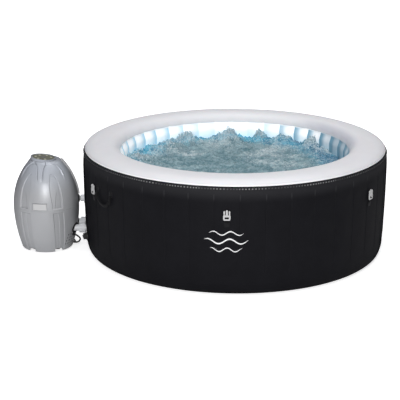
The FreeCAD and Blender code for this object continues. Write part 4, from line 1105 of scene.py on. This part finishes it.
def vents():
    """Dark slanted louvre slots low on the tub side, as thin closed black blades let into the casing:
    painted shade standing in for the open slots.
    """
    verts, faces, sides = [], [], 12
    for row in range(4):
        for column in range(5):
            azimuth, z = 46.5 + 7.0 * column + 1.5 * row, 0.044 + 0.0190 * row
            start = len(verts)
            for proud in (0.0006, -0.0012):
                for k in range(sides):
                    t = TURN * k / sides
                    u, v = 0.0025 * math.cos(t), 0.0052 * math.sin(t)
                    turn = math.degrees((u + 0.45 * v) / egg_radius(z))
                    p = outward(azimuth + turn) * (egg_radius(z + v) + proud)
                    verts.append(p + np.array([*PUMP_AXIS, z + v]))
            faces.append([start + k for k in range(sides)])
            faces.append([start + 2 * sides - 1 - k for k in range(sides)])
            for k in range(sides):
                after = (k + 1) % sides
                faces.append([start + k, start + sides + k, start + sides + after, start + after])
    mesh = bpy.data.meshes.new("pump_vents")
    mesh.from_pydata(verts, [], faces)
    new_object("pump_vents", mesh, "black_rubber", "pump_unit")


# ---- straps


def ribbon(name, path, across, width, thick, body, node=None):
    """Flat webbing along a path: `across` is the width direction, thickness follows the path's normal."""
    across = unit(across)
    normal = unit(np.cross(unit(np.gradient(path, axis=0)), across))
    rows = []
    for k in range(16):
        t = TURN * k / 16
        c, s = math.cos(t), math.sin(t)
        u = math.copysign(abs(c) ** 0.35, c) * width / 2
        v = math.copysign(abs(s) ** 0.6, s) * thick / 2
        rows.append(path + across * u + normal * v)
    grid(name, np.array(rows).transpose(1, 0, 2), "webbing", body, node)


def local_to_world(azimuth, radius, z, local):
    """Wall coordinates (outward, along, up) to the row frame."""
    out, along = outward(azimuth), outward(azimuth + 90)
    return out * (radius + local[:, :1]) + along * local[:, 1:2] + up(1.0) * (z + local[:, 2:3])


def carry_handles():
    """Webbing handle slung between two stitched anchor patches."""
    z0, span, sag, thick = 0.452, 0.070, 0.036, 0.0022
    radius = wall_radius(z0)
    for side, azimuth in HANDLE_AZIMUTHS.items():
        body = "carry_handle_" + side
        t = np.linspace(-1, 1, 60)
        y = span * t
        z = -0.012 - sag * (1 - np.abs(t) ** 2.4)
        x = 0.009 + 0.0015 * np.cos(t * math.pi / 2)
        path = local_to_world(azimuth, radius, z0, np.stack([x, y, z], -1))
        across = outward(azimuth) * 0.35 + up(1.0)
        ribbon(body + "_webbing", path, across, 0.020, thick, body, body)
        for number, end in ((1, -span), (2, span)):
            local = np.stack([np.full(24, 0.009), np.full(24, end), np.linspace(0.003, -0.026, 24)], -1)
            end_path = local_to_world(azimuth, radius, z0, local)
            ribbon("%s_tab_%d" % (body, number), end_path, outward(azimuth + 90), 0.024, thick, body)


def patches():
    """Rounded welded patches under the webbing loops of the buckles and handles."""
    places = [(BUCKLE_AZIMUTH + 60 * k, 0.412, 0.033, 0.028) for k in range(6)]
    for azimuth in HANDLE_AZIMUTHS.values():
        for side in (-1, 1):
            places.append((azimuth + side * math.degrees(0.072 / WIDEST_RADIUS), 0.484, 0.034, 0.034))
    u = np.linspace(-1, 1, 21)
    for k, (azimuth, z0, width, tall) in enumerate(places):
        rows = []
        half_az = math.degrees(width / 2 / WIDEST_RADIUS)
        for v in np.linspace(-1, 1, 15):
            corner = np.clip(1 - (np.abs(u) ** 6 + abs(v) ** 6), 0, 1) ** 0.25
            az = azimuth + u * half_az * (1 - 0.04 * abs(v) ** 4)
            rows.append(on_wall(az, np.full_like(u, z0 + v * tall / 2), 0.0004 + 0.0024 * corner))
        name = "webbing_patch_%02d" % (k + 1)
        grid(name, np.array(rows), "black_trim", "tub", slot="black_pvc", wrap_u=False)


# ---- stage


def paper_floor():
    """White paper that stays white to the camera, and still takes the object's contact shadow."""
    half, level = 30, -0.0015
    mesh = bpy.data.meshes.new("studio_floor")
    corners = [(x * half, y * half, level) for x, y in ((-1, -1), (1, -1), (1, 1), (-1, 1))]
    mesh.from_pydata(corners, [], [(0, 1, 2, 3)])
    s = Shader("studio_paper")
    paper = s.mix(s.noise(3.0), (0.90, 0.90, 0.90), (0.92, 0.92, 0.92))
    s.set(Base_Color=paper, Roughness=0.9, Specular_IOR_Level=0.1)
    seen_directly = s.node("ShaderNodeLightPath").outputs["Is Camera Ray"]
    reach = s.node("ShaderNodeVectorMath", {"operation": "LENGTH"}, s.coords).outputs["Value"]
    glow = s.scale_to(reach, 0.68, 1.2, 1.2, 3.6)
    s.set(Emission_Color=(1.0, 1.0, 1.0), Emission_Strength=s.math("MULTIPLY", seen_directly, glow))
    mesh.materials.append(s.material)
    new_object("studio_floor", mesh)


def surroundings():
    """White to the camera; as light, pale grey that is weaker from the sides."""
    world = bpy.data.worlds.new("studio")
    bpy.context.scene.world = world
    n = Nodes(world)
    place = n.node("ShaderNodeTexCoord").outputs["Generated"]
    x = n.node("ShaderNodeSeparateXYZ", None, place).outputs["X"]
    sideways = n.node("ShaderNodeMath", {"operation": "ABSOLUTE"}, x).outputs[0]
    dimmest = WORLD_LEVEL * WORLD_SIDES
    level = n.node("ShaderNodeMapRange", Value=sideways, To_Min=WORLD_LEVEL, To_Max=dimmest).outputs[0]
    lit = n.node("ShaderNodeBackground", None, (0.94, 0.94, 1.0), level).outputs[0]
    seen = n.node("ShaderNodeBackground", None, (1.0, 1.0, 1.0), 1.0).outputs[0]
    camera_ray = n.node("ShaderNodeLightPath").outputs["Is Camera Ray"]
    mix = n.node("ShaderNodeMixShader", None, camera_ray, lit, seen).outputs[0]
    n.node("ShaderNodeOutputWorld", None, mix)


def stage():
    """Floor, soft light and the camera at the photograph's viewing angle."""
    scene = bpy.context.scene
    paper_floor()
    surroundings()

    def softbox(name, location, target, size, power):
        data = bpy.data.lights.new(name, "AREA")
        data.shape = "RECTANGLE"
        data.size, data.size_y = size
        data.energy = power
        obj = bpy.data.objects.new(name, data)
        obj.location = location
        obj.rotation_euler = (Vector(target) - Vector(location)).to_track_quat("-Z", "Y").to_euler()
        scene.collection.objects.link(obj)

    softbox("front", (-0.75, -7.2, 3.0), (-0.1, 0, 0.4), (1.3, 1.1), 280)
    softbox("top", (0.3, 0.2, 5.0), (0, 0, 0.4), (4.0, 3.4), 125)

    camera = bpy.data.cameras.new("camera")
    camera.sensor_width = 36.0
    camera.lens = LENS
    camera.clip_end = 60.0
    eye = bpy.data.objects.new("camera", camera)
    eye.location = EYE
    eye.rotation_euler = (math.radians(90.0 - EYE_PITCH), 0.0, math.radians(EYE_TURN))
    scene.collection.objects.link(eye)
    scene.camera = eye
    scene.view_settings.view_transform = "Standard"


dress_cad_nodes()
web_sheets()
outer_wall()
outer_seam()
top_ring()
inner_wall()
floor()
wave_print()
water()
pump_upper_casing()
pump_lower_casing()
vents()
grommets()
carry_handles()
patches()
stage()
